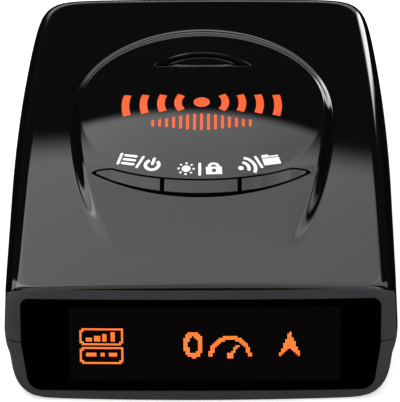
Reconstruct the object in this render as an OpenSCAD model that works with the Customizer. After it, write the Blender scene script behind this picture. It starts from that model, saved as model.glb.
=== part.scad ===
// Windscreen radar detector: a two-part casing with a gloss top cover, a raked display face,
// three top keys, a sprung bracket release button, and the electronics inside.
// Millimetres. X runs across, -Y is the display end, +Y the nose, Z up; Z = 0 is the flat base.

/* [Casing] */
// Widest width, at the parting line
body_w = 82; // [78:1:99]
// Length from the display face's foot to the nose
body_l = 113.9; // [111.9:0.5:136.9]
// Height of the parting line above the base
part_z = 12.6; // [12:0.1:14]
// Height of the roof at mid length, beside the dome
roof_z = 27; // [26.5:0.5:31]
// Wall thickness of both shells
wall = 2; // [1.5:0.1:2.4]
// Backward lean of the display face, in degrees
face_rake = 16; // [8:1:18]
// Bulge of the display face at its middle
face_bow = 0.9; // [0.3:0.1:1.2]
// Narrowing of each side at the nose
nose_taper = 4; // [2:0.5:5]
// Shadow gap between the two shells
seam = 0.5; // [0.3:0.1:0.7]

/* [Dome] */
// Half width of the raised island on the roof
dome_a = 28.6; // [27:0.2:31]
// Reach of the island towards the nose
dome_b = 34; // [30:0.5:36]
// Place of the island's widest line along the body
dome_y = 7.1; // [6.1:0.5:8.6]
// Height of the island above the roof
island_h = 2.4; // [2:0.1:3]
// Further crown of the dome in the island's middle
dome_h = 1.7; // [1:0.1:2.2]

/* [Display] */
// Width of the display window
window_w = 74.5; // [64:0.5:76]
// Height of the display window along the raked face
window_h = 20.8; // [18:0.1:21]
// Thickness of the display window
window_t = 1.5; // [1:0.1:1.8]
// Thickness of the matte bezel plate
bezel_t = 2.5; // [2:0.1:3]
// Width of the display panel's glass
panel_w = 62; // [54:1:64]
// Height of the display panel's glass
panel_h = 18; // [16:0.5:18.5]

/* [Keys] */
// Travel of the three keys
key_travel = 0.6; // [0.3:0.1:0.8]
// Clearance round the keys and the release button
key_gap = 0.35; // [0.3:0.05:0.4]
// Place of the split between two keys, from the middle
key_split = 8.2; // [7:0.1:9]
// Fall of a key's top towards its front edge, per millimetre
key_slope = 0.16; // [0.1:0.01:0.2]

/* [Bracket release] */
// Travel of the release button
release_travel = 1.6; // [1.3:0.1:1.9]
// Width of the bracket slot
slot_w = 24; // [20:1:26]
// Height of the bracket slot
slot_h = 3; // [2.6:0.1:3.2]
// Place of the release button along the body
release_y = 22.8; // [22.6:0.1:23.4]

/* [Sockets] */
// Radius of the earphone jack's bore
phone_r = 1.8; // [1.75:0.01:1.9]
// Depth of the earphone jack's bore
phone_depth = 12.8; // [12:0.1:14]
// Width of the power socket's mouth
power_mouth_w = 9.8; // [9.6:0.1:10]
// Height of the power socket's mouth
power_mouth_h = 6.8; // [6.6:0.1:7]

/* [Inside] */
// Thickness of the main circuit board
board_t = 1.6; // [1:0.1:1.6]
// Height of the main board's underside above the base
board_z = 7; // [6.8:0.1:7.4]
// Radius of the loudspeaker
speaker_r = 14; // [11:0.5:15]
// Radius of a casing screw's shank
screw_r = 1.3; // [1:0.1:1.5]

/* [Hidden] */
$fn = 32;
eps = 0.01;
touch = 0.02;                         // air left between fixed pieces that lie face to face
half_w = body_w / 2;
half_l = body_l / 2;
face_n = 30;                          // squareness of the plan's corners at the display
nose_n = 14;                          // and at the nose
shoulder_z = roof_z - 7;              // where the side walls start to roll over
side_roll = 4.2;                      // width of that roll
nose_roll = 5.5;                      // the same at the nose
lip_r = 1.3;                          // small fillet over the display
side_steps = 12;                      // points on each of the outline's four sides
ring_n = 4 * side_steps;
roof_sag = 2.3;                       // drop of the roof 50 mm from its middle, lengthwise
roof_fall = 0.016;                    // fall of the roof towards the nose, per mm
roof_crown = 1;                       // drop of the roof at its edges, crosswise
leg_b = 65.5;                         // reach of the island's outline towards the display
leg_top = -8.4;                       // where the island starts to fade, and where it has gone
leg_end = -41.4;
crown_a = 26.3;                       // the dome's crown: half width, half length and middle
crown_b = 26;
crown_y = 5.1;
board_top = board_z + board_t;
key_blend = 2;                        // half width of the step from the dome to the apron
lo_r = 40;                            // arcs of the key band: front edge and rear edge
lo_y = -24.1;
up_r = 45;
up_y = -19.8;
tip_x = 23.2;                         // where the band's rear edge meets its front edge
corner_x = 19;                        // where the rear edge starts to turn down to it

// ---- Form of the casing ----

function mix(a, b, t) = a + (b - a) * t;
function clamp01(t) = min(1, max(0, t));
function smooth(t) = let(c = clamp01(t)) c * c * (3 - 2 * c);
function arc_drop(t) = 1 - sqrt(max(0, 1 - t * t));   // 0 to 1 along a quarter circle

// Half width in plan; v runs from -1 at the display to 1 at the nose.
function plan_w(v) = half_w - nose_taper * pow(max(0, (v + 0.3) / 1.3), 2);

// Point i of the unit outline, a square with rounded corners, closer together at its corners.
function unit_angle(i) = let(side = floor(i / side_steps), s = (i % side_steps) / side_steps)
    side * 90 - 45 + 45 + atan(sin(180 * s - 90));
function unit_point(i) =
    let(a = unit_angle(i), n = sin(a) > 0 ? nose_n : face_n)
    let(r = pow(pow(abs(cos(a)), n) + pow(abs(sin(a)), n), -1 / n))
    [r * cos(a), r * sin(a)];
unit = [for (i = [0:ring_n - 1]) unit_point(i)];

foot_z = 0.7;                         // height and inset of the display face's rounded foot
foot_in = 0.22;
face_foot = foot_z * tan(face_rake) + foot_in;
function face_y(z) = -half_l - face_foot + z * tan(face_rake);

// Outline point i at height z, drawn in by insets at the sides, the display and the nose.
function plan_point(i, z, side, near, far) =
    let(u = unit[i][0], v = unit[i][1])
    let(y0 = face_y(z) + near + face_bow * u * u, y1 = half_l - far)
    [u * (plan_w(v) - side), mix(y0, y1, (v + 1) / 2), z];

function roof(x, y) = roof_z - roof_sag * pow(y / 50, 2) - roof_fall * y - roof_crown * pow(x / 36.5, 2);
function crown(x, y) = dome_h * max(0, 1 - pow(x / crown_a, 2) - pow((y - crown_y) / crown_b, 2));
function behind_keys(x, y) = smooth((y - key_mid(x) + key_blend) / (2 * key_blend));
function top_z(x, y) =
    let(m = behind_keys(x, y), b = y > dome_y ? dome_b : leg_b)
    let(rho = norm([x / dome_a, (y - dome_y) / b]))
    let(skirt = 0.08 + 0.2 * pow(max(0, (y - dome_y) / dome_b), 2))
    let(fade = smooth((y - leg_end) / (leg_top - leg_end)))
    roof(x, y) + island_h * smooth((1 - rho) / skirt) * mix(fade, 1, m) + crown(x, y) * m;

// Island outline, cut off where it has faded, in the direction of a plan point.
function island_edge(p) =
    let(a = atan2(p[1] - dome_y, p[0]), b = sin(a) > 0 ? dome_b : leg_b)
    let(r = min(1 / norm([cos(a) / dome_a, sin(a) / b]),
        sin(a) < 0 ? (dome_y - leg_end) / -sin(a) : 1000))
    [r * cos(a), dome_y + r * sin(a)];

// Rings of the upper half from the parting line over the shoulder to the dome; g is the distance
// inside the outer skin, near_g the same at the display.
function wall_ring(z, g, near_g) =
    let(t = (z - part_z) / (shoulder_z - part_z))
    [for (i = [0:ring_n - 1]) plan_point(i, z, 0.4 * t + g, near_g, 0.5 * t + g)];
function roll_ring(t, g, near_g) =
    [for (i = [0:ring_n - 1])
        let(e = plan_point(i, roof_z - 2, 0.4 + side_roll + g, lip_r + near_g, 0.5 + nose_roll + g))
        let(z = mix(shoulder_z, roof(e[0], e[1]) - g, t))
        plan_point(i, z, 0.4 + side_roll * arc_drop(t) + g,
            lip_r * arc_drop(max(0, (t - 0.78) / 0.22)) + near_g, 0.5 + nose_roll * arc_drop(t) + g)];
function to_island(edge, s, g) =
    [for (p = edge) let(q = island_edge(p), x = mix(p[0], q[0], s), y = mix(p[1], q[1], s))
        [x, y, top_z(x, y) - g]];
function on_island(edge, s, g) =
    [for (p = edge) let(q = island_edge(p), x = q[0] * s, y = mix(dome_y, q[1], s))
        [x, y, top_z(x, y) - g]];
function upper_rings(z0, g, near_g) =
    let(edge = roll_ring(1, g, near_g))
    concat([wall_ring(z0, g, near_g), wall_ring(shoulder_z, g, near_g)],
        [for (a = [20, 40, 55, 70]) roll_ring(sin(a), g, near_g)], [edge],
        [for (s = [0.5, 1]) to_island(edge, s, g)],
        [for (s = [0.96, 0.92, 0.84, 0.75, 0.5, 0.2]) on_island(edge, s, g)]);

// Lower half: [height, side inset, display inset, nose inset] down from the parting line.
lower_profile = [[part_z, 0, 0, 0], [part_z - 1.4, 0.25, 0, 0.1], [part_z - 2.4, 0.7, 0, 0.3],
    [part_z - 3.6, 1.5, 0, 0.8], [part_z - 4.6, 1.9, 0, 1.1], [5.2, 2.3, 0, 1.8],
    [2.9, 3.2, 0, 3], [foot_z, 6.1, foot_in, 6.1], [0.3, 7.3, 0.4, 7.3], [0, 9, 0.75, 9]];
function lower_rings(g, near_g, floor_z) =
    [for (p = lower_profile) if (p[0] > floor_z + 0.5 || g == 0)
        [for (i = [0:ring_n - 1]) plan_point(i, p[0] - (p[0] == part_z ? -eps * sign(g) : 0),
            p[1] + g, p[2] + near_g, p[3] + g)]];
function flat_ring(ring, z) = [for (p = ring) [p[0], p[1], z]];

function mean_point(ring) = [for (k = [0:2]) [for (p = ring) 1] * [for (p = ring) p[k]] / len(ring)];

// Solid through a stack of rings, listed from the bottom up, closed by a fan at each end.
module ring_solid(rings) {
    n = len(rings[0]);
    m = len(rings);
    polyhedron(
        points = concat([for (r = rings) each r], [mean_point(rings[0]), mean_point(rings[m - 1])]),
        faces = concat([for (i = [0:n - 1]) [m * n, i, (i + 1) % n]],
            [for (k = [0:m - 2], i = [0:n - 1]) let(j = (i + 1) % n)
                each [[k * n + i, (k + 1) * n + i, (k + 1) * n + j],
                    [k * n + i, (k + 1) * n + j, k * n + j]]],
            [for (i = [0:n - 1]) [m * n + 1, (m - 1) * n + (i + 1) % n, (m - 1) * n + i]]));
}
// Solid between a grid of top points and the same grid of bottom points.
module sheet_solid(top, bottom) {
    m = len(top);
    n = len(top[0]);
    q = m * n;
    polyhedron(points = concat([for (r = top) each r], [for (r = bottom) each r]),
        faces = concat(
            [for (k = [0:m - 2], i = [0:n - 2]) let(a = k * n + i, b = a + n)
                each [[a, a + 1, b], [b, a + 1, b + 1],
                    [q + a, q + b, q + a + 1], [q + b, q + b + 1, q + a + 1]]],
            [for (i = [0:n - 2]) let(a = i, b = (m - 1) * n + i)
                each [[a, q + a, a + 1], [a + 1, q + a, q + a + 1],
                    [b, b + 1, q + b], [b + 1, q + b + 1, q + b]]],
            [for (k = [0:m - 2]) let(a = k * n, b = k * n + n - 1)
                each [[a, a + n, q + a], [a + n, q + a + n, q + a],
                    [b, q + b, b + n], [b + n, q + b, q + b + n]]]));
}
module upper_solid(z0, g, near_g) {
    ring_solid(upper_rings(z0, g, near_g));
}
module lower_solid(g, near_g, floor_z) {
    rings = lower_rings(g, near_g, floor_z);
    deepest = rings[len(rings) - 1];
    stack = g == 0 ? rings : concat(rings, [flat_ring(deepest, floor_z)]);
    ring_solid([for (k = [len(stack) - 1:-1:0]) stack[k]]);
}

// Keeps a whole moulded shell in flat facets.
module faceted() {
    resize([0, 0, 0]) children();
}

// ---- Key band ----

function key_lo(x) = lo_y + lo_r - sqrt(lo_r * lo_r - x * x);
function key_arc(x) = up_y + up_r - sqrt(up_r * up_r - x * x);
function key_mid(x) = (lo_y + up_y) / 2 + x * x / (lo_r + up_r);
function key_up(x) =
    let(t = (abs(x) - corner_x) / (tip_x - corner_x))
    t <= 0 ? key_arc(x) : mix(key_lo(tip_x), key_arc(corner_x), sqrt(max(0, 1 - t * t)));
function key_top(x, t) = top_z(x, key_up(x) + 0.3) - key_slope * (1 - t) * (key_up(x) - key_lo(x));
band_x = [for (i = [-20:20]) tip_x * sin(4.5 * i)];
band_outline = concat([for (x = band_x) [x, key_lo(x)]],
    [for (i = [39:-1:1]) [band_x[i], key_up(band_x[i])]]);

key_front_gap = key_gap + 0.07;        // the front edge runs at a slant near the tips
key_flange_z = 24.1;                  // underside and thickness of the flange that keeps a key in
key_flange_t = 0.8;
key_board_z = 19.4;
key_board_t = 1;
switch_h = 2.6;
switch_w = 6;
well_r = 1.7;
stem_r = 1.2;
key_posts = [[-15, -28.5], [15, -28.5]];
key_ends = [[-tip_x + 0.95, -key_split - 0.4], [-key_split + 0.4, key_split - 0.4],
    [key_split + 0.4, tip_x - 0.95]];
key_centres = [[-14, -19.1], [0, -21.8], [14, -19.1]];

// Points across a key at x, between its front and rear edges, grown outwards.
function key_row(x, grow, z) =
    [[x, key_lo(x) + key_front_gap - grow, z], [x, key_up(x) - key_gap + grow, z]];
module key_cap(k) {
    e = key_ends[k];
    xs = [for (i = [0:12]) mix(e[0], e[1], (1 - cos(15 * i)) / 2)];
    steps = [0, 0.08, 0.3, 0.7, 0.92, 1];
    drops = [0.3, 0.05, 0, 0, 0.05, 0.3];
    sheet_solid(
        [for (i = [0:12]) [for (j = [0:5]) let(x = xs[i], r = key_row(x, 0, 0))
            [x, mix(r[0][1], r[1][1], steps[j]), key_top(x, steps[j]) - drops[j]
                - (i == 0 || i == 12 ? 0.2 : 0)]]],
        [for (x = xs) let(r = key_row(x, 0, 0))
            [for (j = [0:5]) [x, mix(r[0][1], r[1][1], steps[j]), key_flange_z + key_flange_t / 2]]]);
    sheet_solid([for (x = xs) key_row(x, 0.8, key_flange_z + key_flange_t)],
        [for (x = xs) key_row(x, 0.8, key_flange_z)]);
}
module left_key() {
    color("#0d0d0f") faceted() key_cap(0);
}
module middle_key() {
    color("#0d0d0f") faceted() key_cap(1);
}
module right_key() {
    color("#0d0d0f") faceted() key_cap(2);
}
module key_stem(k) {
    translate([key_centres[k][0], key_centres[k][1], key_board_z + key_board_t + 0.9])
        cylinder(r = stem_r, h = key_flange_z - key_board_z - key_board_t - 0.9);
}
module left_key_stem() {
    color("#e8e4da") key_stem(0);
}
module middle_key_stem() {
    color("#e8e4da") key_stem(1);
}
module right_key_stem() {
    color("#e8e4da") key_stem(2);
}
module key_board() {
    color("#1d5a34") difference() {
        translate([-20, -31, key_board_z]) cube([40, 17, key_board_t]);
        for (p = key_posts) translate([p[0], p[1], key_board_z - 1]) cylinder(r = 1.1, h = 3);
    }
}
module key_switches() {
    color("#2a2a2c") for (c = key_centres)
        translate([c[0], c[1], key_board_z + key_board_t + touch]) difference() {
            translate([-switch_w / 2, -switch_w / 2, 0]) cube([switch_w, switch_w, switch_h]);
            translate([0, 0, 0.25]) cylinder(r = well_r, h = switch_h);
        }
}
module key_board_screws() {
    color("#b9bcc2") for (p = key_posts) translate([p[0], p[1], key_board_z - 1.2 - touch]) {
        cylinder(r = 1.9, h = 1.2);
        cylinder(r = 0.9, h = 5);
    }
}
module key_flex() {
    color("#b5762a") difference() {
        translate([-5, -33.6, board_top + touch]) cube([10, 6.6, key_board_z - board_top - 2 * touch]);
        translate([-6, -33.4, board_top + 0.25]) cube([12, 7, key_board_z - board_top - 0.5]);
    }
}

// ---- Display end ----

win_z = 12.5;                         // height of the window's middle
panel_t = 2;
panel_y = 3.1;                        // depth of the panel's front behind the face
glass_w = min(panel_w, window_w - 12);  // the panel stays inside the window
bezel_top = 24.5;
corner_w = 6.9;                       // width and drop of the matte frame's rounded upper corners
corner_drop = 3.6;
window_taper = 1.05;                  // how far each side of the window leans in below its middle
window_r_top = 1.9;
window_r_low = 3.1;
module face_frame() {
    translate([0, face_y(win_z), win_z]) rotate([-face_rake, 0, 0]) children();
}
// Quarter circle about a corner's middle, from a start angle.
function corner(x, y, r, start) =
    [for (k = [0:4]) let(a = start + 22.5 * k) [x + r * cos(a), y + r * sin(a)]];
function rounded_box(w, h, r) = let(x = w / 2 - r, y = h / 2 - r)
    concat(corner(x, y, r, 0), corner(-x, y, r, 90), corner(-x, -y, r, 180), corner(x, -y, r, 270));
// Window outline: straight sides above its middle, leaning in to rounder corners below.
function window_shape(grow) =
    let(w = window_w / 2 + grow, h = window_h / 2 + grow)
    let(top_x = w - window_r_top, top_y = h - window_r_top)
    let(low_x = w - window_taper - window_r_low, low_y = h - window_r_low)
    concat([[w, 0]], corner(top_x, top_y, window_r_top, 0),
        corner(-top_x, top_y, window_r_top, 90), [[-w, 0]],
        corner(-low_x, -low_y, window_r_low, 180), corner(low_x, -low_y, window_r_low, 270));
// Prism through an outline drawn on the face, from depth d0 to d1.
module face_prism(outline, d0, d1) {
    translate([0, d0, 0]) rotate([-90, 0, 0]) linear_extrude(d1 - d0)
        mirror([0, 1]) polygon(outline);
}
function bow(x) = face_bow * pow(x / half_w, 2);
// Slab that follows the bow of the face, from depth d0 to d1.
module bowed_slab(d0, d1, low, high) {
    xs = [for (i = [-12:12]) half_w * i / 11];
    translate([0, 0, low]) linear_extrude(high - low)
        polygon(concat([for (x = xs) [x, bow(x) + d0]], [for (i = [24:-1:0]) [xs[i], bow(xs[i]) + d1]]));
}
// The matte frame's place: from a low line up to its top edge, level and then down at both ends.
function bezel_edge(x) =
    (bezel_top - win_z) / cos(face_rake) - corner_drop * arc_drop(clamp01((abs(x) - half_w + 7) / corner_w));
module bezel_form(grow, d0, d1, low) {
    right = concat([for (x = [0.3, 0.6]) x * (half_w - 7)],
        [for (k = [0:6]) half_w - 7 + corner_w * sin(15 * k)], [half_w + 3]);
    xs = concat([for (i = [len(right) - 1:-1:0]) -right[i]], [0], right);
    sheet_solid([for (x = xs) [for (d = [d0, d1]) [x, bow(x) + d, bezel_edge(x) + grow]]],
        [for (x = xs) [for (d = [d0, d1]) [x, bow(x) + d, low]]]);
}
module window_rebate() {
    face_frame() {
        intersection() {
            face_prism(window_shape(touch), -2, 6);
            bowed_slab(-3, window_t + touch, -15, 15);
        }
        face_prism(rounded_box(window_w - 7, window_h - 2.4, 1), -1, 12);
    }
}
module upper_bezel() {
    color("#3a3b40") faceted() difference() {
        intersection() {
            upper_solid(part_z + seam / 2, 0, 0);
            face_frame() bezel_form(0, -2, bezel_t, -5);
        }
        window_rebate();
    }
}
module display_window() {
    color("#08080a") face_frame() intersection() {
        face_prism(window_shape(0), -2, 6);
        bowed_slab(touch, window_t, -15, 15);
    }
}
module window_gasket() {
    color("#1b1b1d") face_frame() difference() {
        face_prism(rounded_box(glass_w + 1, window_h - 2.6, 0.8), 0, panel_y - touch);
        bowed_slab(-3, window_t + touch, -15, 15);
        face_prism(rounded_box(glass_w - 4.5, panel_h - 3, 0.6), -1, 12);
    }
}
module oled_panel() {
    color("#101418") face_frame() translate([-glass_w / 2, panel_y, -panel_h / 2])
        cube([glass_w, panel_t, panel_h]);
}
module display_carrier() {
    color("#d8d8d4") face_frame() difference() {
        translate([-glass_w / 2 - 2.5, panel_y + 0.4, -panel_h / 2 + 0.4])
            cube([glass_w + 5, panel_t + 0.8, panel_h - 0.4]);
        translate([-glass_w / 2 - touch, panel_y - 1, -panel_h])
            cube([glass_w + 2 * touch, panel_t + 1 + touch, 2 * panel_h]);
        translate([-12, panel_y, -panel_h]) cube([24, panel_t + 6, 6 + panel_h / 2]);
    }
}
module oled_flex() {
    color("#b5762a") difference() {
        face_frame() translate([-11, panel_y + panel_t + touch, -8]) cube([22, 5.6, 3.4]);
        face_frame() translate([-12, panel_y + panel_t + 0.25, -7.8]) cube([24, 6, 3]);
    }
}
module light_sensor() {
    color("#c9c6ba") face_frame() translate([glass_w / 2 + 0.8, panel_y - 0.8, 2])
        cube([1.5, 1.2 - touch, 2.4]);
}

// ---- Casing ----

phone_y = -9;
phone_z = board_top + 3.4;
usb_y = -22;
power_y = -8;
power_z = board_top + 5.6;
boss_xy = [[-33, -36], [33, -36], [-27.5, 45], [27.5, 45]];
boss_r = 3.2;
channel_y0 = 34;                      // inner end of the bracket channel
channel_z = 13;
slot_z = channel_z + 1.2;
release_w = 8;                        // half width and depth of the release button's half moon
release_d = 3.6;
pocket_w = 10.6;
pocket_d = 5.4;
release_front = release_y - 1.8;
pocket_floor = roof_z - 0.1;
release_top = roof_z + 2.2;
deck_z = channel_z + slot_h + 2.4 + release_travel + 0.4;
deck_t = 1.2;
lens_w = 56;
lens_h = 5.6;
lens_z = 8.4;
screw_head_r = 2.5;

// Half moon with its straight edge at y0, bowed outwards a little, and height z = z0 + slope * y.
function moon(w, d, y0, z0, slope, n = 16) =
    let(r = (w * w + d * d) / (2 * d), a = asin(w / r))
    [for (p = concat([for (i = [0:n]) let(t = a * (1 - 2 * i / n)) [r * sin(t), y0 + r * cos(t) - r + d]],
        [for (i = [1:5]) let(x = w * (i / 3 - 1)) [x, y0 - 0.7 * (1 - pow(x / w, 2))]]))
        [p[0], p[1], z0 + slope * (p[1] - y0)]];
function release_hole(grow, z) =
    let(gap = key_gap + grow)
    moon(release_w + 2 * gap, release_d + 2 * gap, release_front - gap, z, 0);
module side_holes() {
    translate([half_l / 2, phone_y, phone_z]) rotate([0, 90, 0]) cylinder(r = 3, h = half_l);
    translate([half_l / 2, usb_y - 4.6, board_top - 0.4]) cube([half_l, 9.2, 3.8]);
    translate([-half_l - 10, power_y - power_mouth_w / 2 - 0.7, power_z - power_mouth_h / 2 - 0.7])
        cube([half_l, power_mouth_w + 1.4, power_mouth_h + 1.4]);
}
module lens_opening(grow, y0) {
    translate([-lens_w / 2 - grow, y0, lens_z - lens_h / 2 - grow])
        cube([lens_w + 2 * grow, half_l, lens_h + 2 * grow]);
}
module top_cover() {
    color("#0a0a0c") faceted() difference() {
        union() {
            difference() {
                upper_solid(part_z + seam, 0, 0);
                upper_solid(part_z - 2, wall, bezel_t - 0.4);
            }
            intersection() {
                upper_solid(part_z + seam, wall / 2, bezel_t);
                union() {
                    for (p = boss_xy) translate([p[0], p[1], part_z + seam]) cylinder(r = boss_r, h = 20);
                    for (p = key_posts)
                        translate([p[0], p[1], key_board_z + key_board_t + touch]) cylinder(r = 2, h = 10);
                    translate([-13, release_front - 3, pocket_floor - 1.5]) cube([26, 14, 5]);
                }
            }
        }
        face_frame() bezel_form(touch, -3, bezel_t + touch, -6);
        translate([0, 0, key_flange_z - 3]) linear_extrude(20) polygon(band_outline);
        translate([0, -19.5, key_flange_z - 2]) linear_extrude(3.2)
            polygon([[-26, 7], [-26, 1], [-12, -4.6], [0, -6.4], [12, -4.6], [26, 1], [26, 7], [0, 2]]);
        ring_solid([release_hole(0.2, pocket_floor),
            moon(pocket_w, pocket_d, release_front - 0.6, pocket_floor + 2.2, 0),
            moon(pocket_w + 1.7, pocket_d + 1.6, release_front - 0.7, pocket_floor + 4.4, 0)]);
        ring_solid([release_hole(0, pocket_floor - 4), release_hole(0, pocket_floor + 1)]);
        for (p = key_posts) translate([p[0], p[1], key_board_z]) cylinder(r = 0.95, h = 4.8);
        for (p = boss_xy) translate([p[0], p[1], part_z - 1]) cylinder(r = 2.15, h = 5.6);
        for (p = boss_xy) translate([p[0], p[1], part_z - 1]) cylinder(r = screw_r + 0.1, h = 8);
        translate([-slot_w / 2 - 1.4, channel_y0 + 4, channel_z - 1])
            cube([slot_w + 2.8, half_l, slot_h + 3.6]);
        side_holes();
    }
}
channel_post_r = 2;
board_post_r = 2.2;
grille_pitch = 2.7;                   // loudspeaker slots: spacing and width
grille_slot = 1.4;
label_w = 41;                         // rating label: width, length, middle and recess depth
label_l = 19;
label_y = 24;
label_recess = 0.25;
module posts(places, r, top) {
    for (p = places) translate([p[0], p[1], 0.5]) cylinder(r = r, h = top - 0.5);
}
// Solid inside the side walls, drawn in by g.
module tongue(z0, z1, g) {
    ring_solid([wall_ring(z0, g, bezel_t), wall_ring(z1, g, bezel_t)]);
}
module bottom_case() {
    color("#36373b") faceted() difference() {
        union() {
            difference() {
                lower_solid(0, 0, 0);
                lower_solid(wall, bezel_t - 0.4, wall);
            }
            difference() {
                tongue(part_z - 2, part_z + 1.6, wall + 0.15);
                tongue(part_z - 4, part_z + 3, wall + 1.15);
                translate([-half_l, -half_l, 0]) cube([2 * half_l, 22, 30]);
                translate([-20, channel_y0, 0]) cube([40, half_l, 30]);
            }
            posts(boss_xy, boss_r, part_z + seam - touch);
            posts(channel_posts, channel_post_r, channel_z - touch);
            posts(board_posts, board_post_r, board_z - touch);
            translate([speaker_x, speaker_y, 1]) difference() {
                cylinder(r = speaker_r + 1.3, h = 2.6);
                translate([0, 0, -1]) cylinder(r = speaker_r + 0.1, h = 6);
            }
        }
        window_rebate();
        for (p = boss_xy) translate([p[0], p[1], -1]) {
            cylinder(r = screw_r + 0.25, h = 20);
            cylinder(r = screw_head_r + 0.25, h = 3.4);
        }
        for (p = concat(board_posts, channel_posts)) translate([p[0], p[1], 3.4]) cylinder(r = 0.8, h = 20);
        for (i = [-4:4]) let(h = sqrt(pow(speaker_r - 2, 2) - pow(grille_pitch * i, 2)))
            translate([speaker_x + grille_pitch * i - grille_slot / 2, speaker_y - h, -1])
                cube([grille_slot, 2 * h, 6]);
        translate([-label_w / 2 - 0.5, label_y - label_l / 2 - 0.5, -1])
            cube([label_w + 1, label_l + 1, 1 + label_recess]);
        lens_opening(touch, half_l - 9);
        side_holes();
        translate([-slot_w / 2 - 1.4, channel_y0 + 4, channel_z - 0.6])
            cube([slot_w + 2.8, half_l, 6]);
    }
}
module front_lens() {
    color("#1a0f12") faceted() intersection() {
        difference() {
            lower_solid(0.05, 0, 0.5);
            lower_solid(1.4, 0, 0.5);
        }
        lens_opening(0, half_l - 9);
    }
}
module case_screws() {
    color("#8d9096") for (p = boss_xy) translate([p[0], p[1], 0.9]) {
        difference() {
            cylinder(r = screw_head_r, h = 1.5 - touch);
            for (a = [0, 90]) rotate([0, 0, a]) translate([-1.5, -0.3, -1]) cube([3, 0.6, 1.8]);
        }
        cylinder(r = screw_r - 0.05, h = part_z + 3);
    }
}
module screw_inserts() {
    color("#b99a55") for (p = boss_xy) translate([p[0], p[1], part_z + seam + 0.1]) difference() {
        cylinder(r = 2.1, h = 3.8);
        translate([0, 0, -1]) cylinder(r = screw_r, h = 8);
    }
}
module rating_label() {
    color("#b8bab8") translate([-label_w / 2, label_y - label_l / 2, 0.1])
        cube([label_w, label_l, label_recess - 0.12]);
}

// ---- Bracket release ----

channel_posts = [[-11.8, 28.5], [11.8, 28.5]];
latch_x = 13.8;
coil_r = 2.4;                         // latch spring: radius of its coils and of its wire
wire_r = 0.25;
module release_button() {
    color("#141416") faceted() ring_solid([
        moon(release_w + 1, release_d + 0.8, release_front - 0.8, pocket_floor - 3.3, 0),
        moon(release_w + 1, release_d + 0.8, release_front - 0.8, pocket_floor - 2.1, 0),
        moon(release_w, release_d, release_front, pocket_floor - 2.1, 0),
        moon(release_w, release_d, release_front, release_top - 0.25, -0.12),
        moon(release_w - 0.3, release_d - 0.4, release_front + 0.1, release_top, -0.12)]);
}
module latch_frame() {
    color("#d9d6cc") union() {
        translate([-7, release_front - 0.4, deck_z]) cube([14, 3.6, pocket_floor - 3.3 - deck_z]);
        translate([-7, release_front - 1.4, deck_z]) cube([14, 20, deck_t]);
        translate([-latch_x - 1.6, 38, deck_z]) cube([2 * latch_x + 3.2, 8, deck_t]);
        translate([-7, 36, deck_z]) cube([14, 6, deck_t]);
        for (s = [-1, 1]) translate([s * (latch_x + 0.8) - 0.8, 40, board_top + 2.2])
            cube([1.6, 4, deck_z - board_top - 2]);
        translate([-latch_x - 1.6, 40, board_top + 2.2]) cube([2 * latch_x + 3.2, 4, 1.6]);
        translate([-3, 40.5, board_top + 2.4]) cube([6, 3, slot_z + 1.5 - board_top - 2.4]);
    }
}
module latch_spring() {
    color("#b9bcc2") translate([0, 25, slot_z + touch]) {
        turns = 4;
        rise = (deck_z - slot_z - 2 * touch - 0.5) / turns;
        for (k = [0:turns]) translate([0, 0, wire_r + k * rise])
            rotate_extrude() translate([coil_r, 0]) circle(r = wire_r, $fn = 12);
        for (k = [0:turns - 1]) rotate([0, 0, 180 * k]) translate([coil_r, 0, wire_r + k * rise])
            cylinder(r = wire_r - 0.03, h = rise);
    }
}
module bracket_channel() {
    color("#2e2f33") difference() {
        union() {
            translate([-slot_w / 2 - 1.2, channel_y0, channel_z])
                cube([slot_w + 2.4, half_l - channel_y0 - 1.2, slot_h + 2.4]);
            translate([-14.2, 22, channel_z]) cube([28.4, 13, 1.2]);
        }
        translate([-slot_w / 2, channel_y0 + 1.5, slot_z]) cube([slot_w, 40, slot_h]);
        translate([-3.4, 40.1, channel_z - 1]) cube([6.8, 3.8, 3]);
        for (p = channel_posts) translate([p[0], p[1], channel_z - 1]) cylinder(r = 1.1, h = 4);
    }
}
module channel_screws() {
    color("#b9bcc2") for (p = channel_posts) translate([p[0], p[1], slot_z + touch]) {
        cylinder(r = 1.9, h = 1.3);
        translate([0, 0, -6]) cylinder(r = 0.75, h = 6.1);
    }
}

// ---- Boards and electronics ----

board_posts = [[-29, 3], [29, 4], [0, -37.5]];
speaker_x = 0;
speaker_y = -17;
rf_z = board_top + 0.6;
module main_board() {
    color("#1b5531") difference() {
        translate([-34, -41, board_z]) cube([68, 86, board_t]);
        for (p = boss_xy) translate([p[0], p[1], board_z - 1]) cylinder(r = boss_r + 0.4, h = 4);
        for (s = [-1, 1]) translate([s * 35, 45, board_z - 1]) cylinder(r = 7.5, h = 4);
        for (p = channel_posts) translate([p[0], p[1], board_z - 1]) cylinder(r = 2.4, h = 4);
        for (p = board_posts) translate([p[0], p[1], board_z - 1]) cylinder(r = 1.1, h = 4);
    }
}
module board_screws() {
    color("#b9bcc2") for (p = board_posts) translate([p[0], p[1], board_top + touch]) {
        cylinder(r = 1.9, h = 1.3);
        translate([0, 0, -5]) cylinder(r = 0.75, h = 5.1);
    }
}
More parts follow.
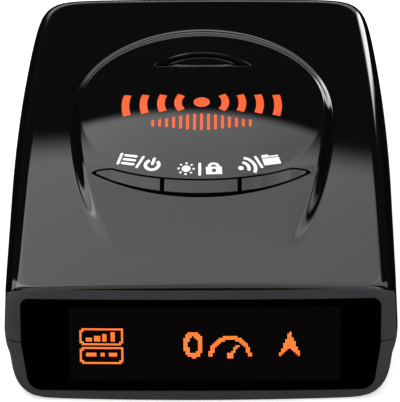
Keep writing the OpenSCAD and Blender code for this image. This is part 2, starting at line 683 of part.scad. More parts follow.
// Chips: middle along X and Y, size along X and Y, height.
chips = [[-9, -8, 12, 12, 1.4], [8, -8, 8, 8, 1], [-22, 8, 9, 6, 1.6], [-8, -24, 7, 5, 1.5],
    [9.5, -27, 5, 4, 1.5], [20.5, -15, 4, 6, 1.4], [20, -36, 8, 5, 1.8]];
module main_chips() {
    color("#17181a") for (c = chips)
        translate([c[0] - c[2] / 2, c[1] - c[3] / 2, board_top + touch]) cube([c[2], c[3], c[4]]);
}
module shield_can() {
    color("#a9adb2") translate([-11, 4, board_top + touch]) difference() {
        cube([22, 17, 3]);
        translate([0.3, 0.3, -1]) cube([21.4, 16.4, 3.7]);
    }
}
module capacitors() {
    color("#2b2f3d") for (p = [[-20, -22], [-20, -32]]) translate([p[0], p[1], board_top + touch])
        cylinder(r = 4, h = 8);
}
module backup_cell() {
    color("#c4c6c9") translate([24, -27, board_top + touch]) {
        cylinder(r = 5, h = 0.8);
        cylinder(r = 4.4, h = 2.4);
    }
}
module gps_antenna() {
    color("#c9bfa4") translate([14.5 + 9, 22, board_top + touch]) {
        translate([-9, -9, 0]) cube([18, 18, 4]);
        translate([-7.5, -7.5, 3.9]) cube([15, 15, 0.15]);
    }
}
module rf_board() {
    color("#20603a") translate([-32, 13.8, rf_z]) cube([16, 27, 1]);
}
module radar_horn() {
    color("#b4b6b8") translate([-24, 14.4, rf_z + 1 + touch]) difference() {
        union() {
            translate([-6, 0, 0]) cube([12, 6, 7]);
            translate([0, 26, 0]) rotate([90, 0, 0]) linear_extrude(20.5, scale = [0.7, 0.7])
                polygon([[-7.6, 0], [7.6, 0], [7.6, 10], [-7.6, 10]]);
        }
        translate([0, 26.5, 1]) rotate([90, 0, 0]) linear_extrude(20, scale = [0.5, 0.5])
            polygon([[-6.6, 0], [6.6, 0], [6.6, 8], [-6.6, 8]]);
    }
}
module laser_board() {
    color("#20603a") translate([14, 46.2, board_z - 3.6]) cube([9.8, 1, 9]);
}
module laser_lens() {
    color("#b8c4cc") translate([19.5, 47.2 + touch, lens_z]) rotate([-90, 0, 0]) {
        cylinder(r = 3, h = 1.6);
        translate([0, 0, 1.5]) scale([1, 1, 0.5]) difference() {
            sphere(r = 3);
            translate([-4, -4, -8]) cube(8);
        }
    }
}
module speaker() {
    color("#303033") translate([speaker_x, speaker_y, wall + 0.5 + touch]) {
        difference() {
            cylinder(r = speaker_r, h = 2.2);
            translate([0, 0, -1]) cylinder(r = speaker_r - 1.4, h = 2.6);
        }
        translate([0, 0, 2]) cylinder(r = speaker_r - 5, h = 1.6);
    }
}
module speaker_gasket() {
    color("#222224") translate([speaker_x, speaker_y, wall + touch]) difference() {
        cylinder(r = speaker_r, h = 0.5 - touch);
        translate([0, 0, -1]) cylinder(r = speaker_r - 1.6, h = 3);
    }
}
module power_jack() {
    color("#1c1c1e") difference() {
        union() {
            translate([-36.6, power_y - 6.6, board_top + touch]) cube([13, 13.2, 11.2]);
            translate([-39.6, power_y - power_mouth_w / 2 - 0.6, power_z - power_mouth_h / 2 - 0.6])
                cube([4, power_mouth_w + 1.2, power_mouth_h + 1.2]);
        }
        translate([-42, power_y - power_mouth_w / 2, power_z - power_mouth_h / 2])
            cube([15, power_mouth_w, power_mouth_h]);
        translate([-42, power_y - 3, power_z + 1]) cube([13, 6, 4]);
    }
}
module power_contacts() {
    color("#c9a54a") for (i = [-1.5:1.5])
        translate([-36, power_y + 1.02 * i - 0.22, power_z - power_mouth_h / 2 + touch])
            cube([8.5, 0.44, 0.5]);
}
module usb_socket() {
    color("#a9adb2") translate([33.4, usb_y - 3.75, board_top + touch]) difference() {
        cube([6, 7.5, 2.8]);
        translate([0.6, 0.35, 0.35]) cube([8, 6.8, 2.1]);
    }
}
module usb_tongue() {
    color("#1c1c1e") translate([34 + touch, usb_y - 2, board_top + 1.5]) cube([4, 4, 0.6]);
}
module phone_jack() {
    color("#1c1c1e") difference() {
        union() {
            translate([25.6, phone_y - 3.2, board_top + touch]) cube([11, 6.4, 6.6]);
            translate([36.5, phone_y, phone_z]) rotate([0, 90, 0]) cylinder(r = 2.8, h = 3.3);
        }
        translate([39.8 - phone_depth, phone_y, phone_z]) rotate([0, 90, 0])
            cylinder(r = phone_r, h = phone_depth + 1);
    }
}

top_cover();
upper_bezel();
bottom_case();
display_window();
window_gasket();
oled_panel();
oled_flex();
display_carrier();
light_sensor();
left_key();
middle_key();
right_key();
left_key_stem();
middle_key_stem();
right_key_stem();
key_board();
key_switches();
key_board_screws();
key_flex();
gps_antenna();
release_button();
latch_frame();
latch_spring();
bracket_channel();
channel_screws();
front_lens();
radar_horn();
rf_board();
laser_lens();
laser_board();
main_board();
main_chips();
shield_can();
capacitors();
backup_cell();
speaker();
speaker_gasket();
power_jack();
power_contacts();
usb_socket();
usb_tongue();
phone_jack();
case_screws();
screw_inserts();
board_screws();
rating_label();
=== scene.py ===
"""Looks of the windscreen radar detector: dense moulded shells, keys, window, readout and print.

Lengths in the shape functions are millimetres in the part's own frame: X across, -Y out of the
display face, +Y out of the nose, Z up from the flat base. put() turns them to metres.
"""

import math

import bpy
import numpy as np
from mathutils import Matrix, Vector


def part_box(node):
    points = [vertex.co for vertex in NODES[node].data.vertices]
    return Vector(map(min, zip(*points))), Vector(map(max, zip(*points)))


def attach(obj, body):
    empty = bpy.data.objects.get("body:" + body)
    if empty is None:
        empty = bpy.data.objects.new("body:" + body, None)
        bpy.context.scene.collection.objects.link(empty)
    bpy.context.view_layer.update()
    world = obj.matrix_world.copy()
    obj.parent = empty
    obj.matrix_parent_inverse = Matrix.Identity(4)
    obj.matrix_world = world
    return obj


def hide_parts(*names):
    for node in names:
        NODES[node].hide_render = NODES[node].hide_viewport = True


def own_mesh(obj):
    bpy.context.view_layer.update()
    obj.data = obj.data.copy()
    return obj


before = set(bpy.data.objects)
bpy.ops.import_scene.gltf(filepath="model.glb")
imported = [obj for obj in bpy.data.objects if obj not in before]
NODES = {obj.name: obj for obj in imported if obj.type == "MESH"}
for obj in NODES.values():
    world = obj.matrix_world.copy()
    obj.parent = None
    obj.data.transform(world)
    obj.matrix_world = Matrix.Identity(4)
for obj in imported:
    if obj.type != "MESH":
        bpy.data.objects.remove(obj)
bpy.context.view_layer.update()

# ---------------------------------------------------------------- sizes, as on the part

HALF_W, HALF_L = 41.0, 56.95  # plan of the body
PART_Z, SEAM, WALL = 12.6, 0.5, 2.0  # parting line, the groove along it and the wall
ROOF_Z = 27.0
RAKE = math.radians(16.0)  # lean of the display face, top away
BOW = 0.9  # how far the face curves back by its sides
BEZEL_T = 2.5  # thickness of the matte frame
NOSE_N, FACE_N = 14.0, 30.0  # exponents of the plan outline at the nose and at the display
NOSE_TAPER = 4.0
SIDE_LEAN, NOSE_LEAN = 0.4, 0.5  # draft of the cover's wall from the parting line to the shoulder
ROOF_SAG, ROOF_FALL, ROOF_CROWN = 2.3, 0.016, 1.0  # curve of the roof
FACE_Y = -HALF_L - 0.7 * math.tan(RAKE) - 0.22
SHOULDER_Z, SIDE_ROLL, NOSE_ROLL, LIP = ROOF_Z - 7.0, 4.2, 5.5, 1.3  # rounding from wall to roof
DOME_A, DOME_B, DOME_Y, ISLAND_H, DOME_H = 28.6, 34.0, 7.1, 2.4, 1.7  # raised oval
LEG_B, LEG_TOP, LEG_END = 65.5, -8.4, -41.4  # its legs, fading towards the display
CROWN_A, CROWN_B, CROWN_Y = 26.3, 26.0, 5.1  # bulge on the oval
LO_Y, LO_R, UP_Y, UP_R = -24.1, 40.0, -19.8, 45.0  # front and rear arcs of the key band
TIP_X, CORNER_X, BLEND = 23.2, 19.0, 2.0  # its tips
KEY_GAP, KEY_FRONT_GAP, KEY_SPLIT, KEY_SLOPE = 0.35, 0.42, 8.2, 0.16
KEY_UNDER, KEY_EDGE_R, TIP_GAP, SPLIT_GAP = 24.1, 0.2, 0.95, 0.4
WIN_Z, WIN_HALF, WIN_HIGH = 12.5, 37.25, 10.4  # window: middle, half width, half height
WIN_R_TOP, WIN_R_LOW, WIN_TAPER = 1.9, 3.1, 1.05
WIN_REBATE, WIN_BACK = 1.52, 1.5
BEZEL_RISE, BEZEL_LEVEL, BEZEL_CORNER_W, BEZEL_CORNER_DROP = 12.5, 34.0, 6.9, 3.6  # its upper edge
RELEASE_W, RELEASE_D, RELEASE_Y = 8.0, 3.6, 21.0  # release button
POCKET_W, POCKET_D, POCKET_Z = 10.6, 5.4, ROOF_Z - 0.1  # crescent pocket behind it
RELEASE_TOP = ROOF_Z + 2.2
BOSSES = [(-33.0, -36.0), (33.0, -36.0), (-27.5, 45.0), (27.5, 45.0)]
BOSS_R, WELL_R, WELL_TOP = 3.2, 2.75, 2.42
GRILLE_Y, GRILLE_R, GRILLE_PITCH, GRILLE_SLOT, GRILLE_SIDE = -17.0, 12.0, 2.7, 1.4, 4
LABEL_Y, LABEL_W, LABEL_L, LABEL_R, LABEL_DEEP = 24.0, 42.0, 20.0, 1.2, 0.25
LENS_W, LENS_H, LENS_Z, LENS_R, LENS_T = 56.0, 5.6, 8.4, 0.9, 1.4
NOTCH_HALF, NOTCH_Y = 13.4, 38.0  # notch for the bracket channel
SPRING_R, WIRE_R, SPRING_TURNS, SPRING_Y = 2.4, 0.25, 5.5, 25.0
DOT_X, DOT_Z = 0.43, 0.41  # pitch of the display's dots


# ---------------------------------------------------------------- small tools


def linear(code):
    """sRGB hex to the linear colour the shader wants."""
    c = np.array([int(code[i : i + 2], 16) for i in (1, 3, 5)]) / 255.0
    c = np.where(c <= 0.04045, c / 12.92, ((c + 0.055) / 1.055) ** 2.4)
    return (*c.tolist(), 1.0)


def mix(a, b, t):
    return a + (b - a) * t


def smooth(t):
    """Smoothstep: 3t squared minus 2t cubed, clamped to 0 and 1."""
    t = np.clip(t, 0.0, 1.0)
    return t * t * (3.0 - 2.0 * t)


def put(name, points, quads, tris=None):
    """A mesh object at the origin from millimetre points and index arrays."""
    mesh = bpy.data.meshes.new(name)
    quads = np.asarray(quads, int).reshape(-1, 4)
    tris = np.zeros((0, 3), int) if tris is None else np.asarray(tris, int).reshape(-1, 3)
    loops = np.concatenate([quads.ravel(), tris.ravel()])
    sizes = np.concatenate([np.full(len(quads), 4), np.full(len(tris), 3)])
    mesh.vertices.add(len(points))
    mesh.vertices.foreach_set("co", (np.asarray(points, float) * 0.001).ravel())
    mesh.loops.add(len(loops))
    mesh.loops.foreach_set("vertex_index", loops)
    mesh.polygons.add(len(sizes))
    mesh.polygons.foreach_set("loop_start", np.concatenate([[0], np.cumsum(sizes)[:-1]]))
    mesh.update(calc_edges=True)
    mesh.validate()
    obj = bpy.data.objects.new(name, mesh)
    bpy.context.collection.objects.link(obj)
    return obj


def rings(name, stack, strip=False):
    """Closed skin through a stack of equal rings (stack, around, 3), each end closed on its mean point, or
    by rungs from each half to the other.
    """
    stack = np.asarray(stack, float)
    m, n = stack.shape[:2]
    k, i = np.meshgrid(np.arange(m - 1), np.arange(n), indexing="ij")
    j = (i + 1) % n
    quads = np.stack([k * n + i, k * n + j, (k + 1) * n + j, (k + 1) * n + i], -1).reshape(-1, 4)
    if strip:
        i = np.arange(1, n // 2 - 1)
        rungs = np.stack([i, i + 1, n - i - 1, n - i], -1)
        tips = np.array([[0, 1, n - 1], [n // 2 - 1, n // 2, n // 2 + 1]])
        top = (m - 1) * n
        return put(
            name, stack.reshape(-1, 3), np.concatenate([quads, rungs + top, rungs[:, ::-1]]),
            np.concatenate([tips + top, tips[:, ::-1]]),
        )
    points = np.concatenate([stack.reshape(-1, 3), [stack[0].mean(0), stack[-1].mean(0)]])
    a = np.arange(n)
    b = (a + 1) % n
    tris = np.concatenate(
        [
            np.stack([np.full(n, m * n), b, a], -1),
            np.stack([np.full(n, m * n + 1), (m - 1) * n + a, (m - 1) * n + b], -1),
        ]
    )
    return put(name, points, quads, tris)


def slab_faces(m, n):
    """Quads of a closed slab between two grids of m by n points, the lower grid numbered after the upper."""
    size = m * n
    k, i = np.meshgrid(np.arange(m - 1), np.arange(n - 1), indexing="ij")
    a = (k * n + i).ravel()
    up = np.stack([a, a + n, a + n + 1, a + 1], -1)
    down = np.stack([a, a + 1, a + n + 1, a + n], -1) + size
    last_row = (m - 1) * n + np.arange(n - 2, -1, -1)
    rim = np.concatenate([np.arange(n), np.arange(1, m) * n + n - 1, last_row, np.arange(m - 2, 0, -1) * n])
    nxt = np.roll(rim, -1)
    return np.concatenate([up, down, np.stack([rim, nxt, nxt + size, rim + size], -1)])


def sheet(name, top, bottom):
    """Closed slab between two grids (rows, columns, 3) of the same size, top facing up."""
    points = np.concatenate([top.reshape(-1, 3), bottom.reshape(-1, 3)])
    return put(name, points, slab_faces(*top.shape[:2]))


def carve(body, tool, how="DIFFERENCE"):
    """Applies a boolean of one tool solid to a body and throws the tool away."""
    mod = body.modifiers.new("cut", "BOOLEAN")
    mod.operation = how
    mod.object = tool
    mod.solver = "EXACT"
    graph = bpy.context.evaluated_depsgraph_get()
    graph.update()
    done = bpy.data.meshes.new_from_object(body.evaluated_get(graph))
    body.modifiers.clear()
    old = body.data
    body.data = done
    bpy.data.meshes.remove(old)
    bpy.data.objects.remove(tool)
    return body


def shade(obj, material, angle=35.0):
    """Smooth shading, kept sharp where two faces meet at more than the angle."""
    obj.data.materials.clear()
    obj.data.materials.append(material)
    obj.data.shade_smooth()
    obj.data.set_sharp_from_angle(angle=math.radians(angle))
    return obj


def fit(obj, body, node=None):
    """Rides the piece on its body, and hides the node it stands for."""
    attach(obj, body)
    if node:
        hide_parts(node)
    return obj


# ---------------------------------------------------------------- form of the casing


def outline(count):
    """Unit plan outline: a superellipse, exponent 30 at the display and 14 at the nose, angles bunched at
    the corners.
    """
    s = np.arange(count) / (count / 4.0)
    side, f = np.floor(s), s % 1.0
    a = np.radians(side * 90.0) + np.arctan(np.sin(np.pi * (f - 0.5)))
    n = np.where(np.sin(a) > 0, NOSE_N, FACE_N)
    r = (np.abs(np.cos(a)) ** n + np.abs(np.sin(a)) ** n) ** (-1.0 / n)
    return np.stack([r * np.cos(a), r * np.sin(a)], -1)


def plan(unit, z, side, near, far):
    """Outline at height z, drawn in by an inset at the sides, the display and the nose."""
    u, v = unit[:, 0], unit[:, 1]
    width = HALF_W - NOSE_TAPER * np.maximum(0.0, (v + 0.3) / 1.3) ** 2 - side
    y0 = FACE_Y + z * math.tan(RAKE) + near + BOW * u * u
    y1 = HALF_L - far
    return np.stack([u * width, mix(y0, y1, (v + 1.0) / 2.0), z + 0.0 * u], -1)


def roof(x, y):
    """Roof plate: a parabola lengthwise, a slight fall to the nose and a parabola crosswise."""
    return ROOF_Z - ROOF_SAG * (y / 50.0) ** 2 - ROOF_FALL * y - ROOF_CROWN * (x / 36.5) ** 2


def key_lo(x):
    return LO_Y + LO_R - np.sqrt(np.maximum(0.0, LO_R**2 - x * x))


def key_up(x):
    """Rear edge of the key band: an arc that turns down to the front edge as a quarter ellipse."""
    arc = UP_Y + UP_R - np.sqrt(np.maximum(0.0, UP_R**2 - x * x))
    t = (np.abs(x) - CORNER_X) / (TIP_X - CORNER_X)
    end = UP_Y + UP_R - math.sqrt(UP_R**2 - CORNER_X**2)
    tip = LO_Y + LO_R - math.sqrt(LO_R**2 - TIP_X**2)
    return np.where(t <= 0, arc, mix(tip, end, np.sqrt(np.clip(1.0 - t * t, 0.0, 1.0))))


def top_z(x, y):
    """Roof plus the island's skirt (smoothstep inside its oval), faded out along the legs, plus the dome's
    crown behind the keys.
    """
    mid = (LO_Y + UP_Y) / 2.0 + x * x / (LO_R + UP_R)
    behind = smooth((y - mid + BLEND) / (2.0 * BLEND))
    b = np.where(y > DOME_Y, DOME_B, LEG_B)
    rho = np.sqrt((x / DOME_A) ** 2 + ((y - DOME_Y) / b) ** 2)
    skirt = 0.08 + 0.25 * np.maximum(0.0, (y - DOME_Y) / DOME_B) ** 2
    fade = smooth((y - LEG_END) / (LEG_TOP - LEG_END))
    crown = DOME_H * np.maximum(0.0, 1.0 - (x / CROWN_A) ** 2 - ((y - CROWN_Y) / CROWN_B) ** 2)
    return roof(x, y) + ISLAND_H * smooth((1.0 - rho) / skirt) * mix(fade, 1.0, behind) + crown * behind


def island_edge(p):
    """Where a ray from the island's middle through each point leaves the island's outline."""
    a = np.arctan2(p[:, 1] - DOME_Y, p[:, 0])
    b = np.where(np.sin(a) > 0, DOME_B, LEG_B)
    r = 1.0 / np.sqrt((np.cos(a) / DOME_A) ** 2 + (np.sin(a) / b) ** 2)
    cut = (DOME_Y - LEG_END) / np.maximum(1e-6, -np.sin(a))
    r = np.where(np.sin(a) < 0, np.minimum(r, cut), r)
    return np.stack([r * np.cos(a), DOME_Y + r * np.sin(a)], -1)


def lay(xy, drop):
    return np.stack([xy[:, 0], xy[:, 1], top_z(xy[:, 0], xy[:, 1]) - drop], -1)


def upper_skin(unit, z0, g, near, fine):
    """Rings from z0 up the wall, over the shoulder (quarter ellipse) and across the roof to the dome's
    middle.
    """
    out = []
    for z in np.linspace(z0, SHOULDER_Z, 3 + 4 * fine):
        t = (z - PART_Z) / (SHOULDER_Z - PART_Z)
        out.append(plan(unit, z, SIDE_LEAN * t + g, near, NOSE_LEAN * t + g))
    edge_xy = plan(unit, ROOF_Z - 2.0, SIDE_LEAN + SIDE_ROLL + g, LIP + near, NOSE_LEAN + NOSE_ROLL + g)
    top = roof(edge_xy[:, 0], edge_xy[:, 1]) - g
    edge = None
    for a in np.radians(np.linspace(0.0, 90.0, 6 + 18 * fine)[1:]):
        t = math.sin(a)
        drop = 1.0 - math.cos(a)
        lip = 1.0 - math.sqrt(max(0.0, 1.0 - max(0.0, (t - 0.78) / 0.22) ** 2))
        ring = plan(
            unit, 0.0, SIDE_LEAN + SIDE_ROLL * drop + g, near + LIP * lip, NOSE_LEAN + NOSE_ROLL * drop + g
        )
        z = mix(SHOULDER_Z, top, t)
        ring[:, 1] += (1.0 - unit[:, 1]) / 2.0 * z * math.tan(RAKE)
        ring[:, 2] = z
        out.append(ring)
        edge = ring
    goal = island_edge(edge)
    for s in np.linspace(0.0, 1.0, 3 + 40 * fine)[1:]:
        out.append(lay(mix(edge[:, :2], goal, s), g))
    centre = np.array([0.0, DOME_Y])
    skirt, middle = np.linspace(1.0, 0.72, 4 + 42 * fine), np.linspace(0.72, 0.02, 4 + 50 * fine)
    for s in np.concatenate([skirt[1:], middle[1:]]):
        out.append(lay(mix(centre, goal, s), g))
    return out


# lower case, from the parting line down: height, then inset at the side, the display and the nose
LOWER = [
    (12.6, 0, 0, 0), (11.9, 0.05, 0, 0.02), (11.2, 0.12, 0, 0.1), (10.7, 0.2, 0, 0.2),
    (10.2, 0.32, 0, 0.3), (9.6, 0.5, 0, 0.55), (9.0, 0.7, 0, 0.8), (8.5, 0.85, 0, 0.97),
    (8.0, 0.95, 0, 1.1), (6.6, 1.15, 0, 1.4), (5.2, 1.35, 0, 1.8), (4.0, 1.65, 0, 2.3),
    (2.9, 2.1, 0, 3.0), (2.0, 2.7, 0.05, 3.9), (1.2, 3.5, 0.12, 5.0), (0.7, 4.3, 0.22, 6.1),
    (0.3, 5.5, 0.4, 7.3), (0.08, 6.8, 0.6, 8.3), (0.0, 8.0, 0.75, 9.4),
]


def lower_skin(unit, g, near, floor):
    """Rings from the parting line down the stepped side to the base, and in to its middle."""
    out = [plan(unit, z, s + g, n + near, f + g) for z, s, n, f in LOWER if z > floor + (0.5 if g else -1.0)]
    last = out[-1]
    if g:
        last = last.copy()
        last[:, 2] = floor
        out.append(last)
    mid = np.array([0.0, 0.0, last[0, 2]])
    out += [mix(last, mid, s) for s in (0.2, 0.5, 0.8)]
    return out


def face_point(x, h, depth):
    """Point on the raked display face: x across, h up the rake from the window's middle, depth inwards from
    the bowed surface.
    """
    d = depth + BOW * (x / HALF_W) ** 2
    y = FACE_Y + WIN_Z * math.tan(RAKE) + d * math.cos(RAKE) + h * math.sin(RAKE)
    return np.stack([x, y, WIN_Z - d * math.sin(RAKE) + h * math.cos(RAKE)], -1)


def window_outline(grow):
    """Window outline on the face: straight above the parting line, its lower half tapering in to rounder
    corners.
    """
    half, top, low = WIN_HALF + grow, WIN_HIGH + grow, -WIN_HIGH - grow
    r_top, r_low, taper = WIN_R_TOP, WIN_R_LOW, WIN_TAPER
    a = np.radians(np.linspace(0.0, 90.0, 13))
    run = lambda p, q, n: np.linspace(p, q, n, endpoint=False)
    right = [
        run((half - taper, low + r_low), (half, 0.0), 12),
        run((half, 0.0), (half, top - r_top), 10),
        np.stack([half - r_top + r_top * np.cos(a), top - r_top + r_top * np.sin(a)], -1),
        run((half - r_top, top), (0.0, top), 40)[1:],
    ]
    left = [
        run((0.0, top), (-half + r_top, top), 40),
        np.stack([-half + r_top - r_top * np.sin(a), top - r_top + r_top * np.cos(a)], -1),
        run((-half, top - r_top), (-half, 0.0), 10)[1:],
        run((-half, 0.0), (-half + taper, low + r_low), 12),
    ]
    base = [
        np.stack([-half + taper + r_low - r_low * np.cos(a), low + r_low - r_low * np.sin(a)], -1),
        run((-half + taper + r_low, low), (half - taper - r_low, low), 80)[1:],
        np.stack([half - taper - r_low + r_low * np.sin(a), low + r_low - r_low * np.cos(a)], -1)[:-1],
    ]
    return np.concatenate(right + left + base)


def face_stack(shape, levels):
    """Rings on the face: each level is (scale or inset outline, depth)."""
    return [face_point(o[:, 0], o[:, 1], d) for o, d in [(shape(g), d) for g, d in levels]]


def bezel_top(x):
    """Upper edge of the matte frame up the rake: level, then a quarter ellipse down to the shoulder."""
    t = np.clip((np.abs(x) - BEZEL_LEVEL) / BEZEL_CORNER_W, 0.0, 1.0)
    return BEZEL_RISE - BEZEL_CORNER_DROP * (1.0 - np.sqrt(1.0 - t * t))


def bezel_block(grow, depth, low):
    """Solid that holds the matte frame's place: between a low line and bezel_top, from before the face to a
    depth.
    """
    x = np.linspace(-HALF_W - 3.0, HALF_W + 3.0, 181)
    deep = np.array([-4.0, 0.0, depth])
    X, D = np.meshgrid(x, deep, indexing="ij")
    top = face_point(X, bezel_top(X) + grow, D)
    bottom = face_point(X, np.full_like(X, low), D)
    return sheet("bezel_block", top, bottom)


def offset(path, d):
    """Closed plan path moved outwards by d along its own normals; it runs anticlockwise."""
    t = np.roll(path, -1, 0) - np.roll(path, 1, 0)
    t /= np.linalg.norm(t, axis=1)[:, None] + 1e-12
    return path + np.stack([t[:, 1], -t[:, 0]], -1) * (d if np.isscalar(d) else d[:, None])


def band_path():
    x = TIP_X * np.sin(np.radians(np.linspace(-90.0, 90.0, 141)))
    front = np.stack([x, key_lo(x)], -1)
    rear = np.stack([x[::-1], key_up(x[::-1])], -1)[1:-1]
    return np.concatenate([front, rear])


def moon(w, d, y0, count=48):
    """Half moon: a circular arc behind and a slightly bowed front edge at y0."""
    r = (w * w + d * d) / (2.0 * d)
    a = math.asin(w / r)
    t = np.linspace(-a, a, count)
    arc = np.stack([r * np.sin(t), y0 + r * np.cos(t) - r + d], -1)
    x = np.linspace(w, -w, count)[1:-1]
    return np.concatenate([arc[::-1], np.stack([-x, y0 - 0.7 * (1.0 - (x / w) ** 2)], -1)])


# ---------------------------------------------------------------- materials


def add(tree, kind, **settings):
    """One node with its settings; an input is given by its name, or by i and its number, as a value or a
    socket to link.
    """
    node = tree.nodes.new(kind)
    for key, value in settings.items():
        if hasattr(node, key) and key not in node.inputs:
            setattr(node, key, value)
            continue
        socket = node.inputs[int(key[1:])] if key[0] == "i" and key[1:].isdigit() else node.inputs[
            key.replace("_", " ")
        ]
        if isinstance(value, bpy.types.NodeSocket):
            tree.links.new(value, socket)
        else:
            socket.default_value = value
    return node


def finish_of(name, low, high, rough, metallic=0.0, ior=1.5, grain=1.0, relief=0.0, soft=4.0, specular=0.5):
    """A surface whose colour and roughness drift over 'soft' mm and whose relief has 'grain' mm features of
    'relief' mm depth.
    """
    mat = bpy.data.materials.new(name)
    mat.use_nodes = True
    tree = mat.node_tree
    bsdf = tree.nodes["Principled BSDF"]
    bsdf.inputs["Metallic"].default_value = metallic
    if not metallic:
        bsdf.inputs["IOR"].default_value = ior
    bsdf.inputs["Specular IOR Level"].default_value = specular
    where = add(tree, "ShaderNodeTexCoord").outputs["Object"]
    drift = add(tree, "ShaderNodeTexNoise", Vector=where, Scale=1000.0 / soft, Detail=3.0, Roughness=0.55)
    tint = add(
        tree, "ShaderNodeMix", data_type="RGBA", i0=drift.outputs["Fac"], i6=linear(low), i7=linear(high)
    )
    tree.links.new(tint.outputs[2], bsdf.inputs["Base Color"])
    spread = add(
        tree, "ShaderNodeMapRange", Value=drift.outputs["Fac"], From_Min=0.25, From_Max=0.75,
        To_Min=rough[0], To_Max=rough[1],
    )
    tree.links.new(spread.outputs[0], bsdf.inputs["Roughness"])
    if relief:
        pits = add(tree, "ShaderNodeTexNoise", Vector=where, Scale=1000.0 / grain, Detail=2.0, Roughness=0.5)
        bump = add(tree, "ShaderNodeBump", Strength=1.0, Distance=relief * 0.001, Height=pits.outputs["Fac"])
        tree.links.new(bump.outputs[0], bsdf.inputs["Normal"])
    return mat


def glow(name, code, strength):
    """Lit dots of an organic display: an even emitter, slightly uneven from dot to dot."""
    mat = bpy.data.materials.new(name)
    mat.use_nodes = True
    tree = mat.node_tree
    bsdf = tree.nodes["Principled BSDF"]
    bsdf.inputs["Base Color"].default_value = linear("#140400")
    bsdf.inputs["Roughness"].default_value = 0.3
    bsdf.inputs["Emission Strength"].default_value = strength
    where = add(tree, "ShaderNodeTexCoord").outputs["Object"]
    drift = add(tree, "ShaderNodeTexNoise", Vector=where, Scale=1000.0 / 1.5, Detail=1.0)
    warm = add(
        tree, "ShaderNodeMix", data_type="RGBA", i0=drift.outputs["Fac"], i6=linear(code),
        i7=linear("#ff7f3a"),
    )
    tree.links.new(warm.outputs[2], bsdf.inputs["Emission Color"])
    return mat


# polished moulded ABS: near-mirror black with the faint long waviness of a moulded skin
GLOSS = finish_of(
    "polished_moulded_abs", "#050506", "#070708", (0.03, 0.05), ior=1.53, grain=5.0, relief=0.0015, soft=7.0
)
# spark-eroded ABS: fine pitted matte grey, pits drawn 0.25 mm wide so that they show
MATTE = finish_of(
    "spark_eroded_abs", "#34353a", "#3a3b40", (0.5, 0.6), ior=1.53, grain=0.25, relief=0.012, soft=6.0
)
# smoked acrylic with a low-reflection hard coat
SMOKED = finish_of(
    "hard_coated_smoked_acrylic", "#010101", "#020202", (0.02, 0.03), ior=1.49, grain=8.0, relief=0.0004,
    soft=9.0, specular=0.03,
)
# display panel seen through the smoke: a little lighter than its printed border
PANEL = finish_of("unlit_display_through_smoke", "#0a0808", "#0c0a09", (0.05, 0.06), soft=5.0, specular=0.03)
# pad-printed inks: a thin opaque satin film that softens the gloss beneath it
ORANGE_INK = finish_of(
    "pad_printed_orange_ink", "#f4520f", "#fb5d1c", (0.28, 0.36), grain=0.2, relief=0.002, soft=2.0
)
WHITE_INK = finish_of(
    "pad_printed_white_ink", "#f2f2f0", "#ffffff", (0.28, 0.36), grain=0.2, relief=0.002, soft=2.0
)
# organic display dots: small warm emitters behind the smoke
DOTS = glow("lit_orange_display_dots", "#ff6a2a", 1.6)
# infrared-passing acrylic: near-black with a deep red cast
LENS = finish_of("infrared_passing_acrylic", "#1b0508", "#22070a", (0.03, 0.05), ior=1.49, soft=6.0)
# zinc-plated steel: pale metal with a slightly uneven dull shine
STEEL = finish_of(
    "zinc_plated_steel", "#b9bcc0", "#a4a7ab", (0.25, 0.4), metallic=1.0, grain=0.3, relief=0.004, soft=1.5
)
# solder-masked glass epoxy: satin green, uneven where copper runs beneath
BOARD = finish_of(
    "solder_masked_glass_epoxy", "#0f4a26", "#145a30", (0.25, 0.35), grain=0.6, relief=0.01, soft=3.0
)
# moulded epoxy: dull black, fine-grained
EPOXY = finish_of("moulded_black_epoxy", "#141416", "#1c1c1e", (0.5, 0.65), grain=0.2, relief=0.006, soft=2.0)
# glass-filled nylon: black, with the faint roughness that its fibres leave
NYLON = finish_of(
    "glass_filled_black_nylon", "#161618", "#1d1d20", (0.42, 0.55), grain=0.3, relief=0.01, soft=2.5
)
# natural acetal: waxy off-white
ACETAL = finish_of("natural_acetal", "#dad6ca", "#e4e0d6", (0.35, 0.45), grain=0.5, relief=0.006, soft=3.0)
# white ABS: plain satin moulding that scatters the panel's light
WHITE_ABS = finish_of(
    "moulded_white_abs", "#d4d3ce", "#deddd8", (0.4, 0.5), grain=0.4, relief=0.006, soft=4.0
)
# closed-cell foam: dead matte, with cells drawn 0.35 mm wide
FOAM = finish_of("closed_cell_foam", "#1a1a1b", "#262627", (0.8, 0.9), grain=0.35, relief=0.08, soft=1.5)
# polyimide flex circuit: amber film over copper
FLEX = finish_of(
    "polyimide_flex_circuit", "#a4631f", "#b8722a", (0.25, 0.35), grain=0.8, relief=0.004, soft=2.0
)
# tinned sheet steel: bright with a cloudy dip finish
TIN = finish_of(
    "tinned_sheet_steel", "#b4b6b8", "#a2a5a8", (0.25, 0.38), metallic=1.0, grain=1.2, relief=0.006,
    soft=3.0,
)
# die-cast zinc: grey metal with a shallow casting skin
ZINC = finish_of(
    "die_cast_zinc", "#b0b2b5", "#9da0a4", (0.35, 0.5), metallic=1.0, grain=0.5, relief=0.02, soft=2.0
)
# turned brass: bright yellow metal with fine tool marks
BRASS = finish_of(
    "turned_brass", "#c9a35a", "#b98f45", (0.2, 0.32), metallic=1.0, grain=0.3, relief=0.004, soft=1.0
)
# gold-plated bronze: polished contact springs
GOLD = finish_of("gold_plated_bronze", "#d8b25a", "#caa24b", (0.15, 0.25), metallic=1.0, soft=1.0)
# fired ceramic: pale, dry and slightly speckled
CERAMIC = finish_of("fired_ceramic", "#c8bd9f", "#d4c9ad", (0.45, 0.6), grain=0.25, relief=0.01, soft=2.0)
